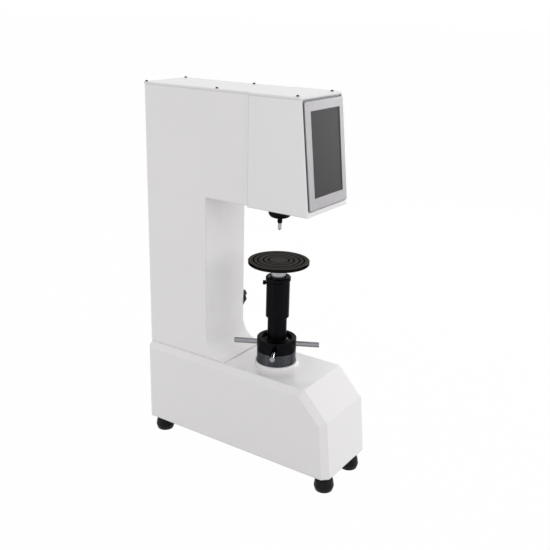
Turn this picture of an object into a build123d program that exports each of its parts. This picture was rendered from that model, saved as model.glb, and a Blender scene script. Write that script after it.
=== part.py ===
from build123d import *

import os
from math import atan2, cos, degrees, pi, radians, sin

os.makedirs("parts", exist_ok=True)

# Dead-weight bench hardness tester. +Z is up, +X is the operator's right hand when facing the screen,
# and the origin lies on the bench, on the middle plane, under the middle of the machine's length.

# Stance and main forms
test_axis_y = -70.0  # spindle, anvil and elevating screw share this upright axis
foot_height = 48.0
base_height = 215.0
base_width = 200.0
base_bevel = 15.0
base_wall = 12.0
base_roof = 16.0
toe_reach = 217.0  # from the test axis forward to the toe of the base
brow_reach = 203.0  # from the test axis to the top of the raked front
brow_drop = 70.0  # from the base top down to the brow
nose_reach = 137.0  # from the test axis to where the base top starts to slope
base_setback = 11.0  # base rear in front of the column rear
throat_depth = 162.0
column_width = 162.0
column_depth = 192.0
column_clearance = 418.0  # base top up to the underside of the arm
head_height = 259.0
head_width = 181.0
head_rear_reach = 32.0  # from the test axis back to the rear edge of the head cover
head_top_reach = 103.0
head_bottom_reach = 130.0
cast_wall = 10.0
sheet = 2.0
lid_height = 5.0
casting_round = 3.0
rear_round = 8.0
foot_flare_radius = 60.0
foot_flare_edge = 3.0

# Clearances
slip = 0.02  # pins, studs and shanks in their holes, on one body
running = 0.05  # radial, shafts that turn or slide
seat_gap = 0.3  # between neighbours on different bodies

# Levels and faces worked out from those
base_top = foot_height + base_height
head_bottom = base_top + column_clearance
machine_top = head_bottom + head_height
shell_top = machine_top - lid_height
column_front = test_axis_y + throat_depth
column_rear = column_front + column_depth
base_rear = column_rear - base_setback
casting_rear = column_rear - sheet
head_rear = test_axis_y + head_rear_reach
head_front_top = test_axis_y - head_top_reach
head_front_bottom = test_axis_y - head_bottom_reach
screen_rake = atan2(head_bottom_reach - head_top_reach, head_height)
column_inside = column_width / 2 - cast_wall

# Elevating screw and its handwheel
screw_radius = 19.0
screw_lead = 5.0
screw_length = 423.0
test_gap = 75.0  # anvil face to indenter point at rest
indenter_reach = 69.0  # head underside to indenter point
boss_radius = 54.0
boss_height = 10.0
bearing_ring_radius = 49.0
bearing_ring_height = 29.0
bearing_ring_flange = 1.5
hub_radius = 49.5
hub_height = 33.0
hub_gap = 1.0  # dark line between hub and bearing ring
hub_recess_radius = 38.0
hub_recess_depth = 8.0
bar_radius = 6.5
bar_reach = 107.0
bar_insert = 15.0
bar_count = 4
bar_first_angle = 28.0
nut_radius = 26.0
nut_flange_radius = 38.0
nut_flange_height = 5.0
thrust_radius = 40.0
thrust_height = 12.0
anvil_radius = 75.0
anvil_thickness = 9.0
anvil_boss_radius = 18.5
anvil_boss_height = 15.0
anvil_stem_radius = 10.0
anvil_stem_length = 38.0
groove_width = 1.6
groove_depth = 0.8
groove_radii = (25.0, 37.5, 51.0, 62.0)
lower_sleeve_radius = 24.0
lower_sleeve_length = 88.0
upper_sleeve_radius = 29.0
sleeve_wall = 4.0
upper_sleeve_length = 93.0
collar_radius = 31.0
collar_height = 12.0
collar_spigot = 16.0
screw_bare = 17.0  # bright screw between the collar and the anvil
clamp_angle = 123.5
clamp_drop = 5.5  # below the collar ring

test_axis = Axis((0, test_axis_y, 0), (0, 0, 1))
point_z = head_bottom - indenter_reach
anvil_face_z = point_z - test_gap
screw_top_z = anvil_face_z - anvil_thickness - anvil_boss_height
boss_top_z = base_top + boss_height
ring_top_z = boss_top_z + bearing_ring_height
hub_bottom_z = ring_top_z + hub_gap
hub_top_z = hub_bottom_z + hub_height
hub_floor_z = hub_top_z - hub_recess_depth
bar_z = hub_bottom_z + hub_height / 2
nut_bottom_z = ring_top_z
collar_top_z = screw_top_z - screw_bare
collar_bottom_z = collar_top_z - collar_height

# Spindle
spindle_radius = 8.0
spindle_stroke = 3.0
housing_radius = 22.0
housing_bore = 12.0
housing_height = 110.0
housing_flange_radius = 34.0
housing_flange_height = 8.0
spindle_tail = 20.0  # spindle above its housing
guard_radius = 28.0
guard_nose_radius = 15.0
guard_drop = 37.0  # head underside to the guard's lowest face
guard_round = 13.0
holder_radius = 6.0
holder_length = 28.0
indenter_radius = 4.4
indenter_length = 18.0
indenter_shank_radius = 3.0
indenter_shank_length = 13.0

# Casting nose inside the head
nose_web = 20.0
nose_lift = 4.0  # web underside above the head underside
nose_half_width = 55.0
nose_front_reach = 52.0
nose_rib_height = 95.0
spigot_length = 14.0
spigot_half_width = 78.0
web_bottom_z = head_bottom + nose_lift
web_top_z = web_bottom_z + nose_web
nose_top_z = web_top_z + nose_rib_height
nose_front_y = test_axis_y - nose_front_reach
arm_front_y = head_rear + 0.5
housing_top_z = web_bottom_z + housing_height
spindle_top_z = housing_top_z + spindle_tail

# Loading train: cam, lever, hanger and weights
fulcrum_reach = 22.0  # from the test axis forward to the lever's fulcrum
cam_setback = 53.0  # cam shaft in front of the casting's rear face
cam_offset = 51.0  # from the hanger back to the cam shaft
hanger_drop = 12.0
cam_sweep = 180.0
lever_height = 34.0
lever_width = 24.0
lever_tail = 16.0
lever_pad = 2.0
fulcrum_pin_radius = 6.0
cam_high_radius = 37.0
cam_gap = 0.6
cam_thickness = 12.0
cam_shaft_radius = 6.0
weight_radius = 48.0
weight_height = 22.0
weight_count = 3
weight_bevel = 1.5
hanger_rod_radius = 6.0
hanger_plate_radius = 30.0
hanger_plate_height = 10.0
hanger_clear = 26.0  # hanger plate above the column's foot flange
column_foot = 14.0

fulcrum_y = test_axis_y - fulcrum_reach
cam_y = casting_rear - cam_setback
hanger_y = cam_y - cam_offset
lever_turn = hanger_drop / (hanger_y - fulcrum_y)
pad_z = spindle_top_z + spindle_stroke + lever_turn * fulcrum_reach + seat_gap
lever_bottom_z = pad_z + lever_pad
lever_top_z = lever_bottom_z + lever_height
fulcrum_z = lever_bottom_z + lever_height / 2
cam_fall = lever_turn * (cam_y - fulcrum_y)
cam_low_radius = cam_high_radius - cam_fall
cam_z = lever_bottom_z - cam_gap - cam_high_radius
plate_bottom_z = base_top + column_foot + hanger_clear
plate_top_z = plate_bottom_z + hanger_plate_height


# Force selector on the column's right side
selector_back = 30.0  # behind the column's front face
selector_drop = 307.0  # below the arm's underside
selector_shaft_radius = 6.0
selector_bush_wall = 3.0
selector_y = column_front + selector_back
selector_z = head_bottom - selector_drop
selector_bush_radius = selector_shaft_radius + selector_bush_wall


# Cylinders that stand on their place or hang from it
upward = (Align.CENTER, Align.CENTER, Align.MIN)
downward = (Align.CENTER, Align.CENTER, Align.MAX)


def save(piece, node):
    """Labels a finished piece with its node's name and writes its STEP file."""
    piece.part.label = node
    export_step(piece.part, f"parts/{node}.step")


def head_front_y(z):
    """The raked front face of the head at height z."""
    share = (z - head_bottom) / head_height
    return head_front_bottom + share * (head_front_top - head_front_bottom)


# ---- Base and column ----

foot_side_inset = 38.0
foot_front_inset = 27.0
foot_rear_inset = 21.0
foot_x = base_width / 2 - foot_side_inset
foot_front_y = test_axis_y - toe_reach + foot_front_inset
foot_rear_y = base_rear - foot_rear_inset
foot_spots = [(x, y) for y in (foot_front_y, foot_rear_y) for x in (-foot_x, foot_x)]
stud_radius = 6.0
pad_size = 54.0
pad_height = 34.0
base_inside = base_width / 2 - base_wall
guide_radius = 28.0
guide_depth = 82.0
guide_flange_radius = 36.0
guide_flange_height = 4.0
well_radius = 40.0
column_bolt_radius = 5.0
column_bolt_inset = 24.0  # from the column's sides
column_bolt_setback = 26.0  # from the column's front and rear faces
column_bolt_front = column_front + column_bolt_setback
column_bolt_rear = casting_rear - column_bolt_setback
column_bolt_x = column_width / 2 - column_bolt_inset
column_bolt_rows = (column_bolt_front, column_bolt_rear)
column_bolt_spots = [(x, y) for y in column_bolt_rows for x in (-column_bolt_x, column_bolt_x)]
foot_window = (86.0, 110.0)

with BuildPart() as base_casting:
    nose_y = test_axis_y - nose_reach
    brow_y = test_axis_y - brow_reach
    toe_y = test_axis_y - toe_reach
    brow_z = base_top - brow_drop
    with BuildSketch(Plane.YZ):
        with BuildLine():
            Polyline(
                (base_rear, foot_height),
                (base_rear, base_top),
                (nose_y, base_top),
                (brow_y, brow_z),
                (toe_y, foot_height),
                close=True,
            )
        make_face()
    extrude(amount=base_width / 2, both=True)
    flanks = base_casting.faces().filter_by(Axis.X).edges().filter_by(Axis.Z, reverse=True)
    chamfer(flanks.filter_by_position(Axis.Z, foot_height + 1, base_top + 1), length=base_bevel)
    fillet(base_casting.edges().filter_by(Axis.Z).group_by(Axis.Y)[-1], rear_round)
    # the screw's boss stands on the base top
    with BuildSketch(Plane.XY.offset(base_top)):
        with Locations((0, test_axis_y)):
            Circle(boss_radius)
    extrude(amount=boss_height)
    # hollow underside
    with BuildSketch(Plane.YZ):
        with BuildLine():
            Polyline(
                (base_rear - base_wall, foot_height - 1),
                (base_rear - base_wall, base_top - base_roof),
                (nose_y + base_wall / 2, base_top - base_roof),
                (brow_y + base_wall, brow_z - base_roof / 2),
                (toe_y + base_wall, foot_height - 1),
                close=True,
            )
        make_face()
    extrude(amount=base_inside, both=True, mode=Mode.SUBTRACT)
    # pads that take the feet, and the well that takes the screw guide
    for x, y in foot_spots:
        pad_front = max(y - pad_size / 2, toe_y + base_wall)
        pad_rear = min(y + pad_size / 2, base_rear - base_wall / 2)
        with BuildSketch(Plane.XY.offset(foot_height)):
            with Locations((x, (pad_front + pad_rear) / 2)):
                Rectangle(pad_size, pad_rear - pad_front)
        extrude(amount=pad_height)
    with BuildSketch(Plane.XY.offset(base_top - base_roof)):
        with Locations((0, test_axis_y)):
            Circle(well_radius)
    extrude(amount=-(guide_depth - base_roof))
    with Locations((0, test_axis_y, boss_top_z)):
        CounterBoreHole(guide_radius + slip, guide_flange_radius + slip, guide_flange_height)
    with BuildSketch(Plane.XY.offset(base_top)):
        with Locations((0, hanger_y)):
            Rectangle(*foot_window)
    extrude(amount=-base_roof, mode=Mode.SUBTRACT)
    with Locations(*[(x, y, foot_height) for x, y in foot_spots]):
        Cylinder(stud_radius + slip, pad_height, align=upward, mode=Mode.SUBTRACT)
    with Locations(*[(x, y, base_top) for x, y in column_bolt_spots]):
        Hole(column_bolt_radius + slip, base_roof)
save(base_casting, "base_casting")

with BuildPart() as column_casting:
    flare_top = base_top + foot_flare_edge + foot_flare_radius
    flare_front = column_front - foot_flare_radius
    with BuildSketch(Plane.YZ):
        with BuildLine():
            Line((flare_front, base_top + foot_flare_edge), (flare_front, base_top))
            Line((flare_front, base_top), (casting_rear, base_top))
            Line((casting_rear, base_top), (casting_rear, shell_top))
            Line((casting_rear, shell_top), (arm_front_y, shell_top))
            Line((arm_front_y, shell_top), (arm_front_y, head_bottom))
            Line((arm_front_y, head_bottom), (column_front, head_bottom))
            Line((column_front, head_bottom), (column_front, flare_top))
            RadiusArc(
                (column_front, flare_top),
                (flare_front, base_top + foot_flare_edge),
                foot_flare_radius,
            )
        make_face()
    extrude(amount=column_width / 2, both=True)
    fillet(column_casting.edges().filter_by(Axis.Z).group_by(Axis.Y)[-1], rear_round)
    upright = column_casting.edges().filter_by(Axis.Z)
    front_edges = upright.filter_by_position(Axis.Z, flare_top, head_bottom)
    lengthwise = column_casting.edges().filter_by(Axis.Y)
    arm_edges = lengthwise.filter_by_position(Axis.Z, head_bottom - 1, head_bottom + 1)
    fillet(front_edges + arm_edges, casting_round)
    # spigot that the head cover slides over, and the ribbed nose that carries the spindle
    with BuildSketch(Plane.XZ.offset(-arm_front_y)):
        with Locations((0, (web_bottom_z + shell_top) / 2)):
            Rectangle(2 * spigot_half_width, shell_top - web_bottom_z)
    extrude(amount=spigot_length)
    with BuildSketch(Plane.XY.offset(web_bottom_z)):
        with Locations((0, (nose_front_y + arm_front_y) / 2)):
            Rectangle(2 * nose_half_width, arm_front_y - nose_front_y)
    extrude(amount=nose_top_z - web_bottom_z)
    # column bore and arm trough
    with BuildSketch(Plane.YZ):
        with BuildLine():
            Polyline(
                (column_front + cast_wall, base_top + column_foot),
                (casting_rear - cast_wall, base_top + column_foot),
                (casting_rear - cast_wall, shell_top + 1),
                (arm_front_y, shell_top + 1),
                (arm_front_y, head_bottom + cast_wall),
                (column_front + cast_wall, head_bottom + cast_wall),
                close=True,
            )
        make_face()
    extrude(amount=column_inside, both=True, mode=Mode.SUBTRACT)
    # the lever runs from the nose into the arm through this window
    nose_inside = nose_half_width - cast_wall
    with BuildSketch(Plane.XY.offset(web_top_z)):
        with Locations((0, (nose_front_y + cast_wall + arm_front_y) / 2)):
            Rectangle(2 * nose_inside, arm_front_y - nose_front_y - cast_wall)
    extrude(amount=shell_top - web_top_z - cast_wall, mode=Mode.SUBTRACT)
    with Locations((0, test_axis_y, web_top_z)):
        Hole(housing_radius + slip, nose_web)
    # service window behind the rear cover, and the way down into the base
    with BuildSketch(Plane.XZ.offset(-casting_rear)):
        with Locations((0, (base_top + shell_top) / 2)):
            RectangleRounded(2 * (column_inside - 14), shell_top - base_top - 90, 10)
    extrude(amount=cast_wall, mode=Mode.SUBTRACT)
    with BuildSketch(Plane.XY.offset(base_top)):
        with Locations((0, hanger_y)):
            Rectangle(*foot_window)
    extrude(amount=column_foot, mode=Mode.SUBTRACT)
    # hole for the selector's bush
    with BuildSketch(Plane.YZ.offset(column_inside)):
        with Locations((selector_y, selector_z)):
            Circle(selector_bush_radius + slip)
    extrude(amount=cast_wall, mode=Mode.SUBTRACT)
    with Locations(*[(x, y, base_top + column_foot) for x, y in column_bolt_spots]):
        Hole(column_bolt_radius + slip, column_foot)
save(column_casting, "column_casting")

# ---- Covers ----

cover_round = 5.0
screen_frame_width = 161.0
screen_frame_height = 237.0
screen_frame_drop = 5.0  # below the lid's edge
screen_frame_proud = 6.4
screen_frame_gap = 3.0
screen_width = 125.0
screen_height = 190.0
screen_lift = 2.0  # the glass sits this much above the frame's middle
screen_recess = 1.5
carrier_thickness = 4.0
carrier_lap = 3.5
board_thickness = 1.6
lid_screw_inset = 8.0  # from the lid's sides
lid_screw_front = 18.0  # from the lid's front edge
lid_screw_middle = 133.0  # behind the test axis
lid_screw_rear = 6.0  # from the lid's rear edge
lug_wall = 2.0
cover_screw_radius = 4.0
cover_screw_dome = 3.2
cover_screw_socket = 1.6
cover_screw_inset = 8.0  # from the rear cover's top and bottom edges
cover_screw_side = 7.0  # from its sides
rear_cover_margin = 9.0
supply_lift = 190.0  # power supply above the base top, behind the louvres
louvre_drop = 20.0  # lowest louvre below the supply
rear_cover_foot = 14.0
inlet_width = 47.0
inlet_height = 27.0
inlet_depth = 22.0
inlet_x = -24.0
inlet_z = base_top + 62.0
rocker_x = 30.0
rocker_width = 15.0
rocker_height = 21.0
rocker_frame_width = 19.0
rocker_frame_height = 25.0
rocker_depth = 14.0
rocker_axis_depth = 2.0
trunnion_radius = 1.5
trunnion_length = 1.2
port_width = 31.0
port_height = 12.5
port_depth = 11.0
port_z = inlet_z + 44.0
trim_flange = 2.0

cover_inside = head_width / 2 - sheet
spigot_gap_x = spigot_half_width + seat_gap
# face of the head's front sheet, with its local Y up the rake and its normal towards the operator
front_middle_z = machine_top - lid_height - screen_frame_drop - screen_frame_height / 2 * cos(screen_rake)
front_plane = Plane(
    origin=(0, head_front_y(front_middle_z), front_middle_z),
    x_dir=(1, 0, 0),
    z_dir=(0, -cos(screen_rake), sin(screen_rake)),
)
window_width = screen_frame_width + 2 * screen_frame_gap
window_top = screen_frame_height / 2 + screen_frame_drop - 0.8
window_bottom = -screen_frame_height / 2 - screen_frame_gap

with BuildPart() as head_cover:
    with BuildSketch(Plane.YZ):
        with BuildLine():
            Polyline(
                (head_rear, head_bottom),
                (head_rear, shell_top),
                (head_front_y(shell_top), shell_top),
                (head_front_bottom, head_bottom),
                close=True,
            )
        make_face()
    extrude(amount=head_width / 2, both=True)
    front_corners = head_cover.faces().filter_by(Axis.X).edges().group_by(Axis.Y)[0]
    fillet(front_corners, cover_round)
    with BuildSketch(Plane.YZ):
        with BuildLine():
            Polyline(
                (head_rear + 1, head_bottom + sheet),
                (head_rear + 1, shell_top + 1),
                (head_front_y(shell_top + 1) + sheet, shell_top + 1),
                (head_front_y(head_bottom + sheet) + sheet, head_bottom + sheet),
                close=True,
            )
        make_face()
    extrude(amount=cover_inside, both=True, mode=Mode.SUBTRACT)
    # return flange that closes the step onto the arm
    with BuildSketch(Plane.XZ.offset(-head_rear)):
        with Locations((0, (head_bottom + shell_top) / 2)):
            Rectangle(head_width - sheet, shell_top - head_bottom)
        with Locations((0, (web_bottom_z - seat_gap + shell_top + 1) / 2)):
            Rectangle(2 * spigot_gap_x, shell_top + 1 - web_bottom_z + seat_gap, mode=Mode.SUBTRACT)
    extrude(amount=sheet)
    # window for the screen module
    with BuildSketch(front_plane.offset(1)):
        with Locations((0, (window_top + window_bottom) / 2)):
            RectangleRounded(window_width, window_top - window_bottom, 4)
    extrude(amount=-sheet - 3, mode=Mode.SUBTRACT)
    with Locations((0, test_axis_y, head_bottom + sheet)):
        Hole(guard_radius + seat_gap, sheet)
save(head_cover, "head_cover")

with BuildPart() as top_lid:
    with BuildSketch(Plane.XY.offset(shell_top)) as lid_outline:
        with BuildLine():
            Polyline(
                (-column_width / 2, column_rear),
                (-column_width / 2, head_rear),
                (-head_width / 2, head_rear),
                (-head_width / 2, head_front_y(machine_top)),
                (head_width / 2, head_front_y(machine_top)),
                (head_width / 2, head_rear),
                (column_width / 2, head_rear),
                (column_width / 2, column_rear),
                close=True,
            )
        make_face()
    extrude(amount=lid_height)
    corners = top_lid.edges().filter_by(Axis.Z)
    fillet(corners.group_by(Axis.Y)[0], cover_round)
    fillet(top_lid.edges().filter_by(Axis.Z).group_by(Axis.Y)[-1], rear_round)
    with BuildSketch(Plane.XY.offset(shell_top)):
        offset(lid_outline.sketch, amount=-sheet - 1, mode=Mode.ADD)
    extrude(amount=lid_height - sheet, mode=Mode.SUBTRACT)
    fillet(top_lid.faces().sort_by(Axis.Z)[-1].outer_wire().edges(), sheet * 0.6)
    lid_screw_rows = (
        test_axis_y - head_top_reach + lid_screw_front,
        test_axis_y + lid_screw_middle,
        column_rear - lid_screw_rear,
    )
    lid_screw_x = column_width / 2 - lid_screw_inset
    lid_screw_spots = [(x, y) for y in lid_screw_rows for x in (-lid_screw_x, lid_screw_x)]
    # turned-down lugs that the screws go into
    with Locations(*[(x, y, machine_top - sheet) for x, y in lid_screw_spots]):
        Cylinder(cover_screw_radius + lug_wall, lid_height - sheet, align=downward)
    with Locations(*[(x, y, machine_top) for x, y in lid_screw_spots]):
        Hole(cover_screw_radius / 2 + slip, lid_height)
save(top_lid, "top_lid")

with BuildPart() as rear_cover:
    cover_low = base_top + rear_cover_foot
    cover_high = shell_top - rear_cover_margin
    with BuildSketch(Plane.XZ.offset(-column_rear)):
        with Locations((0, (cover_low + cover_high) / 2)):
            RectangleRounded(column_width - 2 * rear_cover_margin, cover_high - cover_low, 4)
        with Locations((inlet_x, inlet_z)):
            RectangleRounded(inlet_width, inlet_height, 3, mode=Mode.SUBTRACT)
        with Locations((rocker_x, inlet_z)):
            Rectangle(rocker_frame_width, rocker_frame_height, mode=Mode.SUBTRACT)
        with Locations((inlet_x, port_z)):
            RectangleRounded(port_width, port_height, 3, mode=Mode.SUBTRACT)
    extrude(amount=sheet)
    # louvres over the power supply
    louvre_count = 8
    louvre_pitch = 12.0
    louvre_length = 70.0
    louvre_low = base_top + supply_lift - louvre_drop
    with BuildSketch(Plane.XZ.offset(-column_rear)):
        for row in range(louvre_count):
            with Locations((0, louvre_low + row * louvre_pitch)):
                SlotOverall(louvre_length, 4.0)
    extrude(amount=sheet, mode=Mode.SUBTRACT)
    cover_screw_rows = (
        cover_low + cover_screw_inset,
        (cover_low + cover_high) / 2,
        cover_high - cover_screw_inset,
    )
    cover_screw_x = column_width / 2 - rear_cover_margin - cover_screw_side
    cover_screw_spots = [(x, z) for z in cover_screw_rows for x in (-cover_screw_x, cover_screw_x)]
    with Locations(*[Plane.XZ.offset(-column_rear) * Pos(x, z, 0) for x, z in cover_screw_spots]):
        Hole(cover_screw_radius / 2 + slip, sheet)
save(rear_cover, "rear_cover")


def dome_screw(shank_length):
    """A domed screw that stands on Plane.XY, with its shank below."""
    with BuildPart() as screw:
        with BuildSketch(Plane.XZ):
            with BuildLine():
                Line((0, -shank_length), (0, cover_screw_dome))
                TangentArc((0, cover_screw_dome), (cover_screw_radius, 0), tangent=(1, 0))
                Polyline(
                    (cover_screw_radius, 0),
                    (cover_screw_radius / 2, 0),
                    (cover_screw_radius / 2, -shank_length),
                    (0, -shank_length),
                )
            make_face()
        revolve(axis=Axis.Z)
        with BuildSketch(Plane.XY.offset(cover_screw_dome)):
            RegularPolygon(cover_screw_radius * 0.4, 6)
        extrude(amount=-cover_screw_socket, mode=Mode.SUBTRACT)
    return screw.part


with BuildPart() as cover_screws:
    with Locations(*[(x, y, machine_top) for x, y in lid_screw_spots]):
        add(dome_screw(lid_height - 0.2))
    with Locations(*[Plane(origin=(x, column_rear, z), z_dir=(0, 1, 0)) for x, z in cover_screw_spots]):
        add(dome_screw(sheet))
save(cover_screws, "cover_screws")

with BuildPart() as power_inlet:
    with BuildSketch(Plane.XZ.offset(-column_rear - trim_flange)):
        with Locations((inlet_x, inlet_z)):
            RectangleRounded(inlet_width + 6, inlet_height + 6, 4)
    extrude(amount=trim_flange)
    with BuildSketch(Plane.XZ.offset(-column_rear)):
        with Locations((inlet_x, inlet_z)):
            RectangleRounded(inlet_width - 2 * slip, inlet_height - 2 * slip, 3)
    extrude(amount=inlet_depth)
    # socket cavity with its three blades
    with BuildSketch(Plane.XZ.offset(-column_rear - trim_flange)):
        with Locations((inlet_x, inlet_z)):
            RectangleRounded(25.0, 17.0, 3)
    extrude(amount=17.0, mode=Mode.SUBTRACT)
    with BuildSketch(Plane.XZ.offset(-column_rear + 16)):
        for blade_x, blade_z in ((-7.0, -2.0), (0.0, 2.5), (7.0, -2.0)):
            with Locations((inlet_x + blade_x, inlet_z + blade_z)):
                Rectangle(2.0, 4.0)
    extrude(amount=-13.0)
save(power_inlet, "power_inlet")

rocker_axis_y = column_rear - rocker_axis_depth
with BuildPart() as switch_frame:
    with BuildSketch(Plane.XZ.offset(-column_rear - trim_flange)):
        with Locations((rocker_x, inlet_z)):
            RectangleRounded(rocker_frame_width + 4, rocker_frame_height + 4, 2)
    extrude(amount=trim_flange)
    with BuildSketch(Plane.XZ.offset(-column_rear)):
        with Locations((rocker_x, inlet_z)):
            Rectangle(rocker_frame_width - 2 * slip, rocker_frame_height - 2 * slip)
    extrude(amount=rocker_depth)
    with BuildSketch(Plane.XZ.offset(-column_rear - trim_flange)):
        with Locations((rocker_x, inlet_z)):
            Rectangle(rocker_width + 2 * seat_gap, rocker_height + 2.5 * seat_gap)
    extrude(amount=rocker_depth, mode=Mode.SUBTRACT)
    # holes for the rocker's trunnions
    with BuildSketch(Plane.YZ.offset(rocker_x)):
        with Locations((rocker_axis_y, inlet_z)):
            Circle(trunnion_radius + running)
    extrude(amount=rocker_width / 2 + trunnion_length + running, both=True, mode=Mode.SUBTRACT)
save(switch_frame, "switch_frame")

# ---- Screen module ----

with BuildPart() as screen_frame:
    with BuildSketch(front_plane.offset(screen_frame_proud)):
        RectangleRounded(screen_frame_width, screen_frame_height, 3)
        with Locations((0, screen_lift)):
            Rectangle(screen_width + 2 * slip, screen_height + 2 * slip, mode=Mode.SUBTRACT)
    extrude(amount=-screen_frame_proud - sheet)
    outward = Axis(front_plane.origin, front_plane.z_dir)
    fillet(screen_frame.faces().filter_by(front_plane).sort_by(outward)[-1].outer_wire().edges(), 2.0)
    chamfer(screen_frame.faces().filter_by(front_plane).sort_by(outward)[-1].inner_wires().edges(), 0.8)
save(screen_frame, "screen_frame")

with BuildPart() as screen_carrier:
    with BuildSketch(front_plane.offset(-sheet)):
        with Locations((0, (window_top + window_bottom - carrier_lap) / 2)):
            Rectangle(window_width + 2 * carrier_lap, window_top - window_bottom + carrier_lap)
        with Locations((0, screen_lift)):
            Rectangle(screen_width - 30, screen_height - 30, mode=Mode.SUBTRACT)
    extrude(amount=-carrier_thickness)
save(screen_carrier, "screen_carrier")

with BuildPart() as touch_screen:
    with BuildSketch(front_plane.offset(screen_frame_proud - screen_recess)):
        with Locations((0, screen_lift)):
            Rectangle(screen_width, screen_height)
    extrude(amount=-(screen_frame_proud - screen_recess + sheet))
save(touch_screen, "touch_screen")

with BuildPart() as display_board:
    board_back = sheet + carrier_thickness
    with BuildSketch(front_plane.offset(-board_back)):
        with Locations((0, screen_lift)):
            Rectangle(screen_width - 10, screen_height - 10)
    extrude(amount=-board_thickness)
    with BuildSketch(front_plane.offset(-board_back - board_thickness)):
        for chip_x, chip_y, chip_size in ((0, 20, 22), (-34, 40, 14), (34, 40, 14), (0, -30, 12)):
            with Locations((chip_x, chip_y)):
                Rectangle(chip_size, chip_size)
        with Locations((-30, -60), (30, -60)):
            Rectangle(24, 8)
    extrude(amount=-3.0)
save(display_board, "display_board")

# ---- Elevating screw assembly ----

keyway_width = 6.0
keyway_depth = 3.0
flange_screw_count = 4


def turned(profile, z_shift=0.0):
    """Revolves a half profile of (radius, height) points about the test axis."""
    with BuildPart() as piece:
        with BuildSketch(Plane.XZ.offset(-test_axis_y)):
            with BuildLine():
                Polyline(*[(r, z + z_shift) for r, z in profile], close=True)
            make_face()
        revolve(axis=test_axis)
    return piece.part


with BuildPart() as screw_guide:
    add(
        turned(
            [
                (screw_radius + running, base_top - guide_depth),
                (guide_radius, base_top - guide_depth),
                (guide_radius, boss_top_z - guide_flange_height),
                (guide_flange_radius, boss_top_z - guide_flange_height),
                (guide_flange_radius, boss_top_z),
                (screw_radius + running, boss_top_z),
            ]
        )
    )
    # key that stops the screw turning
    with BuildSketch(Plane.XY.offset(base_top - guide_depth)):
        with Locations((0, test_axis_y - screw_radius - running + keyway_depth / 2)):
            Rectangle(keyway_width - 2 * running, keyway_depth + 0.5)
    extrude(amount=guide_depth - 6)
save(screw_guide, "screw_guide")

with BuildPart() as bearing_ring:
    ring_bore = screw_radius + 4
    add(
        turned(
            [
                (ring_bore, boss_top_z),
                (bearing_ring_radius + bearing_ring_flange, boss_top_z),
                (bearing_ring_radius + bearing_ring_flange, boss_top_z + 2.5),
                (bearing_ring_radius, boss_top_z + 3.5),
                (bearing_ring_radius, ring_top_z - 0.8),
                (bearing_ring_radius - 0.8, ring_top_z),
                (thrust_radius + slip, ring_top_z),
                (thrust_radius + slip, ring_top_z - thrust_height),
                (ring_bore, ring_top_z - thrust_height),
            ]
        )
    )
save(bearing_ring, "bearing_ring")

with BuildPart() as thrust_bearing:
    race = thrust_height / 3
    bearing_bore = screw_radius + 6
    for low in (0, 2):
        add(
            turned(
                [
                    (bearing_bore, low * race),
                    (thrust_radius, low * race),
                    (thrust_radius, (low + 1) * race),
                    (bearing_bore, (low + 1) * race),
                ],
                ring_top_z - thrust_height,
            )
        )
    ball_circle = (bearing_bore + thrust_radius) / 2
    with Locations((0, test_axis_y, ring_top_z - thrust_height / 2)):
        with PolarLocations(ball_circle, 14):
            Sphere(race * 0.62)
save(thrust_bearing, "thrust_bearing")

with BuildPart() as handwheel_hub:
    add(
        turned(
            [
                (nut_radius + slip, hub_floor_z),
                (hub_recess_radius, hub_floor_z),
                (hub_recess_radius, hub_top_z - 1.5),
                (hub_recess_radius + 1.5, hub_top_z),
                (hub_radius - 1.5, hub_top_z),
                (hub_radius, hub_top_z - 1.5),
                (hub_radius, hub_bottom_z + 0.8),
                (hub_radius - 0.8, hub_bottom_z),
                (nut_flange_radius + slip, hub_bottom_z),
                (nut_flange_radius + slip, nut_bottom_z + nut_flange_height),
                (nut_radius + slip, nut_bottom_z + nut_flange_height),
            ]
        )
    )
    # sockets for the bars
    for k in range(bar_count):
        angle = bar_first_angle + k * 360 / bar_count
        direction = Vector(cos(radians(angle)), sin(radians(angle)), 0)
        socket_start = Vector(0, test_axis_y, bar_z) + direction * (hub_radius - bar_insert)
        with BuildSketch(Plane(origin=socket_start, z_dir=direction)):
            Circle(bar_radius + slip)
        extrude(amount=bar_insert + 1, mode=Mode.SUBTRACT)
save(handwheel_hub, "handwheel_hub")

for k in range(bar_count):
    angle = bar_first_angle + k * 360 / bar_count
    direction = Vector(cos(radians(angle)), sin(radians(angle)), 0)
    bar_start = Vector(0, test_axis_y, bar_z) + direction * (hub_radius - bar_insert + slip)
    with BuildPart() as bar:
        with BuildSketch(Plane(origin=bar_start, z_dir=direction)):
            Circle(bar_radius)
        extrude(amount=bar_reach - hub_radius + bar_insert)
        chamfer(bar.edges().filter_by(GeomType.CIRCLE), 1.2)
    save(bar, f"handwheel_bar_{k + 1}")

with BuildPart() as elevating_nut:
    add(
        turned(
            [
                (screw_radius + running, nut_bottom_z),
                (nut_flange_radius, nut_bottom_z),
                (nut_flange_radius, nut_bottom_z + nut_flange_height),
                (nut_radius, nut_bottom_z + nut_flange_height),
                (nut_radius, hub_floor_z),
                (screw_radius + running, hub_floor_z),
            ]
        )
    )
save(elevating_nut, "elevating_nut")

with BuildPart() as lower_sleeve:
    lower_bore = screw_radius + 1.0
    sleeve_foot = lower_sleeve_radius + 5.0
    add(
        turned(
            [
                (lower_bore, hub_floor_z),
                (sleeve_foot, hub_floor_z),
                (sleeve_foot, hub_floor_z + 3.0),
                (lower_sleeve_radius, hub_floor_z + 5.0),
                (lower_sleeve_radius, hub_floor_z + lower_sleeve_length),
                (lower_bore, hub_floor_z + lower_sleeve_length),
            ]
        )
    )
save(lower_sleeve, "lower_sleeve")

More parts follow.
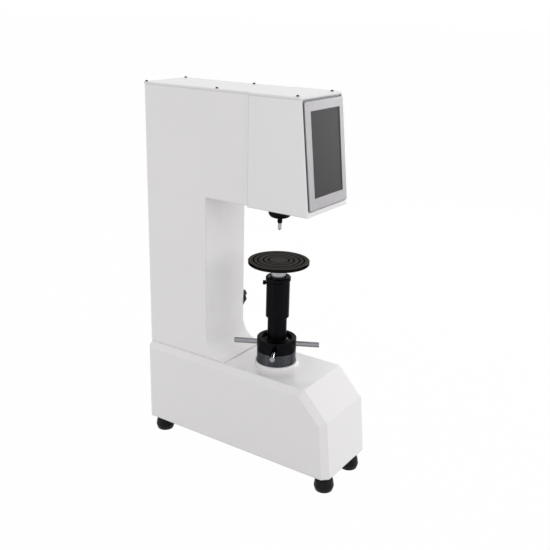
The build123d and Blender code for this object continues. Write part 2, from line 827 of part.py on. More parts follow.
upper_sleeve_bore = upper_sleeve_radius - sleeve_wall
clamp_z = collar_bottom_z - clamp_drop
clamp_direction = Vector(cos(radians(clamp_angle)), sin(radians(clamp_angle)), 0)
clamp_plane = Plane(origin=Vector(0, test_axis_y, clamp_z), z_dir=clamp_direction)
clamp_shank_radius = 2.5
clamp_head_radius = 5.5
clamp_head_length = 8.0

with BuildPart() as elevating_screw:
    with BuildSketch(Plane.XY.offset(screw_top_z - screw_length)):
        with Locations((0, test_axis_y)):
            Circle(screw_radius)
    extrude(amount=screw_length)
    chamfer(elevating_screw.edges().filter_by(GeomType.CIRCLE), 1.0)
    with BuildSketch(Plane.XY.offset(screw_top_z - screw_length)):
        with Locations((0, test_axis_y - screw_radius)):
            Rectangle(keyway_width, 2 * keyway_depth + 0.6)
    extrude(amount=screw_length - 60, mode=Mode.SUBTRACT)
    with Locations((0, test_axis_y, screw_top_z)):
        Hole(anvil_stem_radius + running, anvil_stem_length + 2)
    with BuildSketch(clamp_plane.offset(anvil_stem_radius)):
        Circle(clamp_shank_radius + running)
    extrude(amount=screw_radius, mode=Mode.SUBTRACT)
save(elevating_screw, "elevating_screw")

with BuildPart() as upper_sleeve:
    add(
        turned(
            [
                (upper_sleeve_bore, collar_bottom_z - upper_sleeve_length),
                (upper_sleeve_radius - 1, collar_bottom_z - upper_sleeve_length),
                (upper_sleeve_radius, collar_bottom_z - upper_sleeve_length + 1),
                (upper_sleeve_radius, collar_bottom_z),
                (upper_sleeve_bore, collar_bottom_z),
            ]
        )
    )
    with BuildSketch(clamp_plane.offset(upper_sleeve_bore - 3)):
        Circle(clamp_shank_radius + running)
    extrude(amount=sleeve_wall + 6, mode=Mode.SUBTRACT)
save(upper_sleeve, "upper_sleeve")

with BuildPart() as sleeve_collar:
    add(
        turned(
            [
                (screw_radius + slip, collar_bottom_z - collar_spigot),
                (upper_sleeve_bore - slip, collar_bottom_z - collar_spigot),
                (upper_sleeve_bore - slip, collar_bottom_z),
                (upper_sleeve_radius, collar_bottom_z),
                (collar_radius, collar_bottom_z + 2.5),
                (collar_radius, collar_top_z - 2.0),
                (collar_radius - 2.0, collar_top_z),
                (screw_radius + 4, collar_top_z),
                (screw_radius + slip, collar_top_z - 3),
            ]
        )
    )
    with BuildSketch(clamp_plane.offset(screw_radius - 3)):
        Circle(clamp_shank_radius + running)
    extrude(amount=sleeve_wall + 8, mode=Mode.SUBTRACT)
save(sleeve_collar, "sleeve_collar")

with BuildPart() as clamp_screw:
    clamp_reach = upper_sleeve_radius + seat_gap
    clamp_shoulder = 0.4
    with BuildSketch(clamp_plane.offset(anvil_stem_radius + running + seat_gap)):
        Circle(clamp_shank_radius)
    extrude(amount=clamp_reach - anvil_stem_radius - running - seat_gap)
    with BuildSketch(clamp_plane.offset(clamp_reach + clamp_shoulder)):
        Circle(clamp_head_radius)
        with PolarLocations(clamp_head_radius, 10):
            Circle(0.8, mode=Mode.SUBTRACT)
    extrude(amount=clamp_head_length)
    with BuildSketch(clamp_plane.offset(clamp_reach)):
        Circle(clamp_shank_radius + 1)
    extrude(amount=clamp_shoulder)
save(clamp_screw, "clamp_screw")

with BuildPart() as anvil_disc:
    disc_bottom = anvil_face_z - anvil_thickness
    add(
        turned(
            [
                (0, anvil_face_z),
                (anvil_radius - 1, anvil_face_z),
                (anvil_radius, anvil_face_z - 1),
                (anvil_radius, disc_bottom + 1.5),
                (anvil_radius - 1.5, disc_bottom),
                (anvil_boss_radius, disc_bottom),
                (anvil_boss_radius, screw_top_z + 0.6),
                (anvil_boss_radius - 0.6, screw_top_z),
                (anvil_stem_radius, screw_top_z),
                (anvil_stem_radius, screw_top_z - anvil_stem_length),
                (0, screw_top_z - anvil_stem_length),
            ]
        )
    )
    # concentric rings for centring round specimens
    with BuildSketch(Plane.XY.offset(anvil_face_z)):
        with Locations((0, test_axis_y)):
            for radius in groove_radii:
                Circle(radius + groove_width / 2)
                Circle(radius - groove_width / 2, mode=Mode.SUBTRACT)
    extrude(amount=-groove_depth, mode=Mode.SUBTRACT)
save(anvil_disc, "anvil_disc")

# ---- Spindle and indenter ----

with BuildPart() as spindle_guard:
    guard_low = head_bottom - guard_drop
    guard_bore = spindle_radius + 1.0
    with BuildSketch(Plane.XZ.offset(-test_axis_y)):
        with BuildLine():
            Polyline(
                (guard_bore, guard_low),
                (guard_bore, web_bottom_z),
                (guard_radius, web_bottom_z),
                (guard_radius, guard_low + guard_round),
            )
            RadiusArc((guard_radius, guard_low + guard_round), (guard_nose_radius, guard_low), guard_round)
            Line((guard_nose_radius, guard_low), (guard_bore, guard_low))
        make_face()
    revolve(axis=test_axis)
save(spindle_guard, "spindle_guard")

with BuildPart() as spindle_housing:
    add(
        turned(
            [
                (housing_bore, web_bottom_z),
                (housing_radius, web_bottom_z),
                (housing_radius, web_top_z),
                (housing_flange_radius, web_top_z),
                (housing_flange_radius, web_top_z + housing_flange_height),
                (housing_radius, web_top_z + housing_flange_height),
                (housing_radius, housing_top_z),
                (housing_bore, housing_top_z),
            ]
        )
    )
    with Locations((0, test_axis_y, web_top_z + housing_flange_height)):
        with PolarLocations((housing_radius + housing_flange_radius) / 2, flange_screw_count, 45):
            CounterBoreHole(2.2, 4.0, 3.0, housing_flange_height)
save(spindle_housing, "spindle_housing")

bush_length = 24.0
bush_inset = 3.0
with BuildPart() as spindle_bushes:
    for low in (web_bottom_z + bush_inset, housing_top_z - bush_length - bush_inset):
        add(
            turned(
                [
                    (spindle_radius + running, low),
                    (housing_bore - slip, low),
                    (housing_bore - slip, low + bush_length),
                    (spindle_radius + running, low + bush_length),
                ]
            )
        )
save(spindle_bushes, "spindle_bushes")

holder_bottom_z = point_z + indenter_length
holder_top_z = holder_bottom_z + holder_length
collar_seat_z = housing_top_z + seat_gap
spindle_collar_radius = 13.0
spindle_collar_height = 8.0
spindle_tail_radius = 3.0

with BuildPart() as spindle:
    with BuildSketch(Plane.XZ.offset(-test_axis_y)):
        with BuildLine():
            Polyline(
                (0, holder_top_z + 1),
                (spindle_radius, holder_top_z + 1),
                (spindle_radius, collar_seat_z),
                (spindle_collar_radius, collar_seat_z),
                (spindle_collar_radius, collar_seat_z + spindle_collar_height),
                (spindle_radius, collar_seat_z + spindle_collar_height),
                (spindle_radius, spindle_top_z - 2),
            )
            RadiusArc((spindle_radius, spindle_top_z - 2), (0, spindle_top_z), -17)
            Line((0, spindle_top_z), (0, holder_top_z + 1))
        make_face()
    revolve(axis=test_axis)
    with BuildSketch(Plane.XY.offset(holder_top_z - 9)):
        with Locations((0, test_axis_y)):
            Circle(spindle_tail_radius)
    extrude(amount=12)
save(spindle, "spindle")

with BuildPart() as indenter_holder:
    add(
        turned(
            [
                (0, holder_bottom_z),
                (holder_radius - 1.2, holder_bottom_z),
                (holder_radius, holder_bottom_z + 2.5),
                (holder_radius, holder_top_z - 2),
                (holder_radius + 1, holder_top_z),
                (holder_radius + 1, holder_top_z + 1),
                (0, holder_top_z + 1),
            ]
        )
    )
    with BuildSketch(Plane.XY.offset(holder_bottom_z)):
        with Locations((0, test_axis_y)):
            Circle(indenter_shank_radius + slip)
    extrude(amount=indenter_shank_length + 1, mode=Mode.SUBTRACT)
    with BuildSketch(Plane.XY.offset(holder_top_z + 1)):
        with Locations((0, test_axis_y)):
            Circle(spindle_tail_radius + slip)
    extrude(amount=-11, mode=Mode.SUBTRACT)
save(indenter_holder, "indenter_holder")

with BuildPart() as indenter:
    add(
        turned(
            [
                (0, point_z),
                (0.5, point_z + 0.2),
                (1.8, point_z + 1.0),
                (indenter_radius, point_z + 3.4),
                (indenter_radius, holder_bottom_z),
                (indenter_shank_radius, holder_bottom_z),
                (indenter_shank_radius, holder_bottom_z + indenter_shank_length),
                (0, holder_bottom_z + indenter_shank_length),
            ]
        )
    )
save(indenter, "indenter")

scale_arm_z = collar_seat_z + spindle_collar_height
scale_arm_height = 4.0
scale_x = -27.5
scale_thickness = 2.0
scale_length = 58.0
reader_gap = 0.6

with BuildPart() as scale_arm:
    with BuildSketch(Plane.XY.offset(scale_arm_z)):
        with Locations((0, test_axis_y)):
            Circle(spindle_collar_radius)
        with Locations((scale_x / 2, test_axis_y)):
            Rectangle(-scale_x, 12.0)
        with Locations((0, test_axis_y)):
            Circle(spindle_radius + slip, mode=Mode.SUBTRACT)
    extrude(amount=scale_arm_height)
    with BuildSketch(Plane.XY.offset(scale_arm_z + scale_arm_height)):
        with Locations((scale_x - scale_thickness / 2, test_axis_y)):
            Rectangle(scale_thickness, 12.0)
    extrude(amount=-scale_length)
save(scale_arm, "scale_arm")

with BuildPart() as scale_reader:
    reader_face = scale_x - scale_thickness - reader_gap
    reader_wall = -nose_half_width + cast_wall
    with BuildSketch(Plane.XY.offset(scale_arm_z - 50)):
        with Locations(((reader_face + reader_wall) / 2, test_axis_y)):
            Rectangle(reader_face - reader_wall, 26.0)
    extrude(amount=28)
    fillet(scale_reader.edges().filter_by(Axis.Z).group_by(Axis.X)[-1], 1.5)
save(scale_reader, "scale_reader")

# ---- Loading train ----

cheek_thickness = 10.0
cheek_gap = lever_width / 2 + seat_gap
bridge_height = 12.0
bridge_front_y = nose_front_y + 2
bridge_rear_y = test_axis_y - spindle_collar_radius - 3
bridge_middle_y = (bridge_front_y + bridge_rear_y) / 2

with BuildPart() as fulcrum_bracket:
    with BuildSketch(Plane.XY.offset(nose_top_z)):
        with Locations((0, bridge_middle_y)):
            Rectangle(2 * nose_half_width, bridge_rear_y - bridge_front_y)
    extrude(amount=bridge_height)
    for side in (-1, 1):
        with BuildSketch(Plane.YZ.offset(side * (cheek_gap + cheek_thickness / 2))):
            with Locations((bridge_middle_y, (nose_top_z + bridge_height + fulcrum_z) / 2)):
                Rectangle(bridge_rear_y - bridge_front_y, fulcrum_z - nose_top_z - bridge_height)
            with Locations((fulcrum_y, fulcrum_z)):
                Circle(14.0)
        extrude(amount=cheek_thickness / 2, both=True)
    with BuildSketch(Plane.YZ):
        with Locations((fulcrum_y, fulcrum_z)):
            Circle(fulcrum_pin_radius + slip)
    extrude(amount=cheek_gap + cheek_thickness, both=True, mode=Mode.SUBTRACT)
save(fulcrum_bracket, "fulcrum_bracket")

with BuildPart() as fulcrum_pin:
    with BuildSketch(Plane.YZ):
        with Locations((fulcrum_y, fulcrum_z)):
            Circle(fulcrum_pin_radius)
    extrude(amount=cheek_gap + cheek_thickness + 2, both=True)
    chamfer(fulcrum_pin.edges().filter_by(GeomType.CIRCLE), 0.8)
save(fulcrum_pin, "fulcrum_pin")

lever_rear_y = cam_y + lever_tail
lever_slot_reach = (90.0, 175.0)  # from the test axis back to the slots' middles
lever_slot_length = 70.0
lever_slot_margin = 9.0

with BuildPart() as load_lever:
    with BuildSketch(Plane.YZ):
        with Locations(((fulcrum_y + lever_rear_y) / 2, fulcrum_z)):
            Rectangle(lever_rear_y - fulcrum_y, lever_height)
        with Locations((fulcrum_y, fulcrum_z)):
            Circle(lever_height / 2)
        # lightening slots
        with Locations(*[(test_axis_y + reach, fulcrum_z) for reach in lever_slot_reach]):
            SlotOverall(lever_slot_length, lever_height - 2 * lever_slot_margin, mode=Mode.SUBTRACT)
    extrude(amount=lever_width / 2, both=True)
    # hardened pad that bears on the spindle
    with BuildSketch(Plane.XY.offset(pad_z)):
        with Locations((0, test_axis_y)):
            Circle(spindle_radius - 1)
    extrude(amount=lever_bottom_z - pad_z)
    with BuildSketch(Plane.YZ):
        with Locations((fulcrum_y, fulcrum_z)):
            Circle(fulcrum_pin_radius + running)
    extrude(amount=lever_width, both=True, mode=Mode.SUBTRACT)
save(load_lever, "load_lever")

yoke_bar = 10.0
yoke_strap = 6.0
yoke_inside = lever_width / 2 + 2.0
yoke_seat_gap = 0.5
yoke_low_z = lever_bottom_z - 30.0
yoke_top_z = lever_top_z + yoke_seat_gap + yoke_bar
dash_reach = 42.0  # from the hanger across to the dashpot
dash_arm_lift = 350.0  # above the hanger's plate
dash_arm_width = 12.0
dash_arm_height = 8.0
dash_arm_hub = 11.0
dash_arm_eye = 7.0
dash_rod_radius = 4.0
dash_rod_length = 58.0
dash_piston_height = 10.0
dash_bore = 17.0
dash_wall = 4.0
dash_height = 70.0
dash_saddle = 30.0
dash_clear = 26.0  # cylinder top below the arm
dash_x = -dash_reach
dash_arm_z = plate_top_z + dash_arm_lift
dash_top_z = dash_arm_z - dash_clear

with BuildPart() as weight_hanger:
    # stirrup round the lever
    with BuildSketch(Plane.XZ.offset(-hanger_y)):
        with Locations((0, (yoke_low_z + yoke_top_z) / 2)):
            RectangleRounded(2 * (yoke_inside + yoke_strap), yoke_top_z - yoke_low_z, 4)
        with Locations((0, (yoke_low_z + yoke_top_z) / 2)):
            Rectangle(2 * yoke_inside, yoke_top_z - yoke_low_z - 2 * yoke_bar, mode=Mode.SUBTRACT)
    extrude(amount=yoke_bar / 2, both=True)
    with BuildSketch(Plane.XY.offset(plate_bottom_z)):
        with Locations((0, hanger_y)):
            Circle(hanger_rod_radius)
    extrude(amount=yoke_low_z - plate_bottom_z + 1)
    with BuildSketch(Plane.XY.offset(plate_bottom_z)):
        with Locations((0, hanger_y)):
            Circle(hanger_plate_radius)
    extrude(amount=hanger_plate_height)
save(weight_hanger, "weight_hanger")

for k in range(weight_count):
    weight_low = plate_top_z + k * weight_height
    with BuildPart() as weight:
        with BuildSketch(Plane.XY.offset(weight_low)):
            with Locations((0, hanger_y)):
                Circle(weight_radius)
                Circle(hanger_rod_radius + slip, mode=Mode.SUBTRACT)
        extrude(amount=weight_height)
        circles = weight.edges().filter_by(GeomType.CIRCLE)
        chamfer(circles.filter_by(lambda edge: edge.radius == weight_radius), weight_bevel)
    save(weight, f"weight_{k + 1}")

with BuildPart() as dash_piston:
    with BuildSketch(Plane.XY.offset(dash_arm_z)):
        with Locations((dash_x / 2, hanger_y)):
            Rectangle(dash_reach, dash_arm_width)
        with Locations((0, hanger_y)):
            Circle(dash_arm_hub)
        with Locations((dash_x, hanger_y)):
            Circle(dash_arm_eye)
        with Locations((0, hanger_y)):
            Circle(hanger_rod_radius + slip, mode=Mode.SUBTRACT)
    extrude(amount=dash_arm_height)
    with BuildSketch(Plane.XY.offset(dash_arm_z)):
        with Locations((dash_x, hanger_y)):
            Circle(dash_rod_radius)
    extrude(amount=-dash_rod_length)
    with BuildSketch(Plane.XY.offset(dash_arm_z - dash_rod_length)):
        with Locations((dash_x, hanger_y)):
            Circle(dash_bore - running)
    extrude(amount=-dash_piston_height)
save(dash_piston, "dash_piston")

with BuildPart() as dash_cylinder:
    dash_low_z = dash_top_z - dash_height
    with BuildSketch(Plane.XY.offset(dash_low_z)):
        with Locations((dash_x, hanger_y)):
            Circle(dash_bore + dash_wall)
        with Locations(((dash_x - column_inside) / 2, hanger_y)):
            Rectangle(column_inside + dash_x, dash_saddle)
    extrude(amount=dash_height)
    with BuildSketch(Plane.XY.offset(dash_low_z + dash_wall)):
        with Locations((dash_x, hanger_y)):
            Circle(dash_bore)
    extrude(amount=dash_height - 2 * dash_wall, mode=Mode.SUBTRACT)
    with BuildSketch(Plane.XY.offset(dash_top_z)):
        with Locations((dash_x, hanger_y)):
            Circle(dash_rod_radius + running)
    extrude(amount=-dash_wall - 1, mode=Mode.SUBTRACT)
save(dash_cylinder, "dash_cylinder")

cam_hub_radius = 13.0
cam_hub_length = 10.0
gearbox_gap = 2.0
gearbox_size = 52.0
gearbox_length = 34.0
shaft_socket = 8.0
motor_radius = 19.0
motor_length = 80.0
motor_pilot = 4.0
cam_steps = 12
cam_low_dwell = 80.0  # degrees
cam_high_dwell = 60.0


def cam_point(angle):
    """A point of the snail at an angle in degrees, with the high dwell at the top and a linear fall."""
    radius = cam_high_radius - cam_fall * min(max(angle, 0), cam_sweep) / cam_sweep
    turn = radians(90 - angle)
    return (cam_y + radius * cos(turn), cam_z + radius * sin(turn))


# the shaft turns the top of the cam towards -Y, so the profile runs back from the top
with BuildPart() as loading_cam:
    with BuildSketch(Plane.YZ):
        with BuildLine():
            Spline(*[cam_point(cam_sweep * k / cam_steps) for k in range(cam_steps + 1)])
            low_end = cam_point(cam_sweep + cam_low_dwell)
            RadiusArc(cam_point(cam_sweep), low_end, cam_low_radius)
            high_turn = radians(90 + cam_high_dwell)
            high_start = (
                cam_y + cam_high_radius * cos(high_turn),
                cam_z + cam_high_radius * sin(high_turn),
            )
            Line(low_end, high_start)
            RadiusArc(high_start, cam_point(0), cam_high_radius)
        make_face()
    extrude(amount=cam_thickness / 2, both=True)
    with BuildSketch(Plane.YZ.offset(cam_thickness / 2)):
        with Locations((cam_y, cam_z)):
            Circle(cam_hub_radius)
    extrude(amount=cam_hub_length)
    with BuildSketch(Plane.YZ.offset(-cam_thickness / 2 - 4)):
        with Locations((cam_y, cam_z)):
            Circle(cam_shaft_radius)
    extrude(amount=cam_thickness + cam_hub_length + gearbox_gap + shaft_socket)
save(loading_cam, "loading_cam")

gearbox_x = cam_thickness / 2 + cam_hub_length + gearbox_gap
flange_x = gearbox_x + gearbox_length
with BuildPart() as gearbox:
    with BuildSketch(Plane.YZ.offset(gearbox_x)):
        with Locations((cam_y, cam_z)):
            RectangleRounded(gearbox_size, gearbox_size, 4)
    extrude(amount=gearbox_length)
    with BuildSketch(Plane.YZ.offset(gearbox_x)):
        with Locations((cam_y, cam_z)):
            Circle(cam_shaft_radius + running)
    extrude(amount=shaft_socket, mode=Mode.SUBTRACT)
    # flange that bolts it to the column wall
    with BuildSketch(Plane.YZ.offset(flange_x)):
        with Locations((cam_y, cam_z)):
            RectangleRounded(gearbox_size + 18, gearbox_size, 4)
            with GridLocations(gearbox_size + 9, gearbox_size - 14, 2, 2):
                Circle(2.6, mode=Mode.SUBTRACT)
    extrude(amount=column_inside - flange_x)
save(gearbox, "gearbox")

with BuildPart() as load_motor:
    motor_x = gearbox_x + gearbox_length / 2
    motor_top_z = cam_z - gearbox_size / 2
    with BuildSketch(Plane.XY.offset(motor_top_z)):
        with Locations((motor_x, cam_y)):
            Circle(motor_radius - 3)
    extrude(amount=-motor_pilot)
    with BuildSketch(Plane.XY.offset(motor_top_z - motor_pilot)):
        with Locations((motor_x, cam_y)):
            Circle(motor_radius)
    extrude(amount=-motor_length)
    fillet(load_motor.faces().sort_by(Axis.Z)[0].edges(), 2)
save(load_motor, "load_motor")

# ---- Force selector ----

selector_plate_radius = 33.0
selector_plate_thickness = 2.5
knob_radius = 27.0
knob_height = 21.0
knob_skirt = 5.0
knob_lobes = 6
selector_side = column_width / 2

with BuildPart() as selector_plate:
    with BuildSketch(Plane.YZ.offset(selector_side)):
        with Locations((selector_y, selector_z)):
            Circle(selector_plate_radius)
    extrude(amount=selector_plate_thickness)
    chamfer(selector_plate.faces().sort_by(Axis.X)[-1].edges(), 0.8)
    with BuildSketch(Plane.YZ.offset(column_inside)):
        with Locations((selector_y, selector_z)):
            Circle(selector_bush_radius)
    extrude(amount=cast_wall)
    with BuildSketch(Plane.YZ.offset(column_inside)):
        with Locations((selector_y, selector_z)):
            Circle(selector_shaft_radius + running)
    extrude(amount=cast_wall + selector_plate_thickness, mode=Mode.SUBTRACT)
save(selector_plate, "selector_plate")

with BuildPart() as selector_knob:
    knob_x = selector_side + selector_plate_thickness + seat_gap
    with BuildSketch(Plane.YZ.offset(knob_x)):
        with Locations((selector_y, selector_z)):
            Circle(knob_radius)
    extrude(amount=knob_skirt)
    with BuildSketch(Plane.YZ.offset(knob_x + knob_skirt)):
        with Locations((selector_y, selector_z)):
            Circle(knob_radius - 2)
            with PolarLocations(knob_radius + 3, knob_lobes):
                Circle(9.0, mode=Mode.SUBTRACT)
    extrude(amount=knob_height - knob_skirt)
    fillet(selector_knob.faces().sort_by(Axis.X)[-1].edges(), 1.5)
    # pointer line across the grip
    with BuildSketch(Plane.YZ.offset(knob_x + knob_height)):
        with Locations((selector_y, selector_z + knob_radius / 2)):
            Rectangle(2.0, knob_radius - 8)
    extrude(amount=-1.0, mode=Mode.SUBTRACT)
save(selector_knob, "selector_knob")

with BuildPart() as selector_shaft:
    shaft_inner_x = column_inside - 29.0
    lobe_x = column_inside - 25.0
    with BuildSketch(Plane.YZ.offset(shaft_inner_x)):
        with Locations((selector_y, selector_z)):
            Circle(selector_shaft_radius)
    extrude(amount=knob_x - shaft_inner_x)
    # three-lobed plate that lifts the weights that aren't in use
    with BuildSketch(Plane.YZ.offset(lobe_x)):
        with Locations((selector_y, selector_z)):
            Circle(9.0)
            with PolarLocations(8.0, 3, 90):
                Circle(5.0)
    extrude(amount=8.0)
save(selector_shaft, "selector_shaft")

# ---- Power switch, port and electronics ----

with BuildPart() as power_rocker:
    with BuildSketch(Plane.YZ.offset(rocker_x - rocker_width / 2)):
        with BuildLine():
            Polyline(
                (rocker_axis_y - 5, inlet_z - rocker_height / 2 + 3),
                (rocker_axis_y - 5, inlet_z + rocker_height / 2 - 3),
                (rocker_axis_y + 2.5, inlet_z + rocker_height / 2 - 0.6),
                (rocker_axis_y + 3.6, inlet_z),
                (rocker_axis_y + 6.0, inlet_z - rocker_height / 2 + 1.4),
                close=True,
            )
        make_face()
    extrude(amount=rocker_width)
    with BuildSketch(Plane.YZ.offset(rocker_x)):
        with Locations((rocker_axis_y, inlet_z)):
            Circle(trunnion_radius)
    extrude(amount=rocker_width / 2 + trunnion_length, both=True)
save(power_rocker, "power_rocker")

with BuildPart() as data_port:
    with BuildSketch(Plane.XZ.offset(-column_rear - 1)):
        with Locations((inlet_x, port_z)):
            RectangleRounded(port_width + 8, port_height + 4, 2)
    extrude(amount=1)
    with BuildSketch(Plane.XZ.offset(-column_rear)):
        with Locations((inlet_x, port_z)):
            RectangleRounded(port_width - 2 * slip, port_height - 2 * slip, 3)
    extrude(amount=port_depth)
    with BuildSketch(Plane.XZ.offset(-column_rear - 1)):
        with Locations((inlet_x, port_z)):
            Trapezoid(17, 8, 80, align=(Align.CENTER, Align.CENTER))
    extrude(amount=6, mode=Mode.SUBTRACT)
save(data_port, "data_port")

supply_depth = 45.0
supply_width = 62.0
supply_height = 150.0
supply_slot_length = 44.0
supply_slot_width = 4.0
supply_slot_depth = 1.5
with BuildPart() as power_supply:
    with BuildSketch(Plane.XY.offset(base_top + supply_lift)):
        with Locations((column_inside - supply_depth / 2, cam_y)):
            Rectangle(supply_depth, supply_width)
    extrude(amount=supply_height)
    with BuildSketch(Plane.YZ.offset(column_inside - supply_depth)):
        with Locations((cam_y, base_top + supply_lift + supply_height / 2)):
            with GridLocations(0, louvre_pitch, 1, louvre_count):
                SlotOverall(supply_slot_length, supply_slot_width)
    extrude(amount=supply_slot_depth, mode=Mode.SUBTRACT)
save(power_supply, "power_supply")

board_length = 150.0
board_height = 130.0
board_front_gap = 25.0
board_lift = 125.0
standoff = 7.0
with BuildPart() as control_board:
    board_plane = Plane.YZ.offset(-column_inside + standoff)
    board_middle = (column_front - board_front_gap, head_bottom + board_lift)
    with BuildSketch(board_plane):
        with Locations(board_middle):
            Rectangle(board_length, board_height)
    extrude(amount=board_thickness)
    with BuildSketch(board_plane.offset(board_thickness)):
        with Locations(board_middle):
            with Locations((-40, 25), (10, -20)):
                Rectangle(26, 26)
            with Locations((45, 35), (45, -35), (-45, -40)):
                Rectangle(30, 12)
    extrude(amount=6)
    with BuildSketch(board_plane):
        with Locations(board_middle):
            with GridLocations(board_length - 12, board_height - 12, 2, 2):
                Circle(3.0)
    extrude(amount=-standoff)
save(control_board, "control_board")

# ---- Fasteners and feet ----

with BuildPart() as column_bolts:
    bolt_head_z = base_top + column_foot
    with BuildSketch(Plane.XY.offset(bolt_head_z)):
        with Locations(*column_bolt_spots):
            Circle(column_bolt_radius * 1.6)
    extrude(amount=2 * column_bolt_radius)
    with BuildSketch(Plane.XY.offset(bolt_head_z + 2 * column_bolt_radius)):
        with Locations(*column_bolt_spots):
            RegularPolygon(column_bolt_radius * 0.9, 6)
    extrude(amount=-column_bolt_radius, mode=Mode.SUBTRACT)
    with BuildSketch(Plane.XY.offset(bolt_head_z)):
        with Locations(*column_bolt_spots):
            Circle(column_bolt_radius)
    extrude(amount=-(column_foot + base_roof))
save(column_bolts, "column_bolts")

puck_radius = 25.0
puck_height = 36.0
puck_waist_z = 12.0  # height of the widest ring
puck_foot_radius = 21.5
puck_top_radius = 21.0
puck_waist_round = 10.0
puck_top_round = 12.0
puck_foot_round = 2.0
puck_recess = 8.0
stud_grip = 6.0  # stud end above the pad
nut_size = 10.0
nut_height = 8.0
foot_names = ("front_left", "front_right", "rear_left", "rear_right")

for name, (x, y) in zip(foot_names, foot_spots):
    with BuildPart() as foot:
        with BuildSketch(Plane.XZ.offset(-y)):
            with BuildLine():
                FilletPolyline(
                    (x, 0),
                    (x + puck_foot_radius, 0),
                    (x + puck_radius, puck_waist_z),
                    (x + puck_top_radius, puck_height),
                    (x, puck_height),
                    radius=(puck_foot_round, puck_waist_round, puck_top_round),
                )
                Line((x, puck_height), (x, 0))
            make_face()
        revolve(axis=Axis((x, y, 0), (0, 0, 1)))
        with Locations((x, y, puck_height)):
            Hole(stud_radius + slip, puck_recess)
    save(foot, f"foot_{name}")

with BuildPart() as foot_studs:
    stud_low_z = puck_height - puck_recess
    with BuildSketch(Plane.XY.offset(stud_low_z)):
        with Locations(*foot_spots):
            Circle(stud_radius)
    extrude(amount=foot_height + pad_height + stud_grip - stud_low_z)
    # lock nut under the casting and the washer that rests on the puck
    with BuildSketch(Plane.XY.offset(foot_height - nut_height)):
        with Locations(*foot_spots):
            RegularPolygon(nut_size, 6)
    extrude(amount=nut_height)
    with BuildSketch(Plane.XY.offset(puck_height)):
        with Locations(*foot_spots):
            Circle(nut_size)
    extrude(amount=foot_height - nut_height - puck_height)
save(foot_studs, "foot_studs")

print("lever turn in degrees", round(degrees(lever_turn), 4))
print("screw travel per radian in mm", round(screw_lead / (2 * pi), 5))
print("cam fall", round(cam_fall, 4), "cam axis", cam_y, round(cam_z, 3), "fulcrum", fulcrum_y, fulcrum_z)
print("lever turn per cam radian", round(lever_turn / radians(cam_sweep), 6))
print("hanger drop per cam radian in mm", round(hanger_drop / radians(cam_sweep), 6))
print("anvil face", anvil_face_z, "point", point_z, "clamp", clamp_z)
print("selector", selector_y, selector_z, "rocker", rocker_x, rocker_axis_y, inlet_z)
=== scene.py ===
import bpy
import numpy as np
from math import radians
from mathutils import Matrix, Vector


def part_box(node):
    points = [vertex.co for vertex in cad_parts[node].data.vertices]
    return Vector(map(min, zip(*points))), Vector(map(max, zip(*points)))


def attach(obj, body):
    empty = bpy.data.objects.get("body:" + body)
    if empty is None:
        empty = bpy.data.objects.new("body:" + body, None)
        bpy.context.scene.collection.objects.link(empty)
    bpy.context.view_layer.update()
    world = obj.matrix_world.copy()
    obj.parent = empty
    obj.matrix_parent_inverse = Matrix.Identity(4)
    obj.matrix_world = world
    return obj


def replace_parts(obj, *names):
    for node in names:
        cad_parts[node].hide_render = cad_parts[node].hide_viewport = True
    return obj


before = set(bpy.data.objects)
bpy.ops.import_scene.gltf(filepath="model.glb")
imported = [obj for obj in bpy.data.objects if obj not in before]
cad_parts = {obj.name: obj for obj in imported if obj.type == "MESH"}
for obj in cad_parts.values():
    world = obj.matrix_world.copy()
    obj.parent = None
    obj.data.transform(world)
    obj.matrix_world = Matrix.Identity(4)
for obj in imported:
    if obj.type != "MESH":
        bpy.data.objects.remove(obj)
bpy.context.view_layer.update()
print("stage 1: frame loaded with", len(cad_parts), "nodes")

mm = 0.001
testAxis = (0.0, -0.070)  # metres: spindle, anvil and elevating screw share this upright axis
bevelSamples = 6  # rays that a rounded edge is read from


def toLinear(hexText):
    # sRGB to linear: a dark value is divided by 12.92; any other has 0.055 added, is divided by 1.055 and is
    # raised to the power 2.4
    c = np.array([int(hexText[k:k + 2], 16) for k in (1, 3, 5)]) / 255
    c = np.where(c <= 0.04045, c / 12.92, ((c + 0.055) / 1.055) ** 2.4)
    return (*c, 1.0)


def setInputs(tree, node, inputs):
    # an input takes a plain value, or the output socket that feeds it
    for name, value in inputs.items():
        if isinstance(value, bpy.types.NodeSocket):
            tree.links.new(value, node.inputs[name])
        else:
            node.inputs[name].default_value = value


def addNode(tree, kind, settings=None, inputs=None):
    # one node with its settings, its values and its links
    node = tree.nodes.new(kind)
    for name, value in (settings or {}).items():
        setattr(node, name, value)
    setInputs(tree, node, inputs or {})
    return node


def startMaterial(name, color):
    # an empty material, its shader, and the object's own coordinates, in metres, for its patterns
    material = bpy.data.materials.new(name)
    material.use_nodes = True
    material.diffuse_color = toLinear(color)
    tree = material.node_tree
    place = addNode(tree, "ShaderNodeTexCoord").outputs["Object"]
    return material, tree, tree.nodes["Principled BSDF"], place


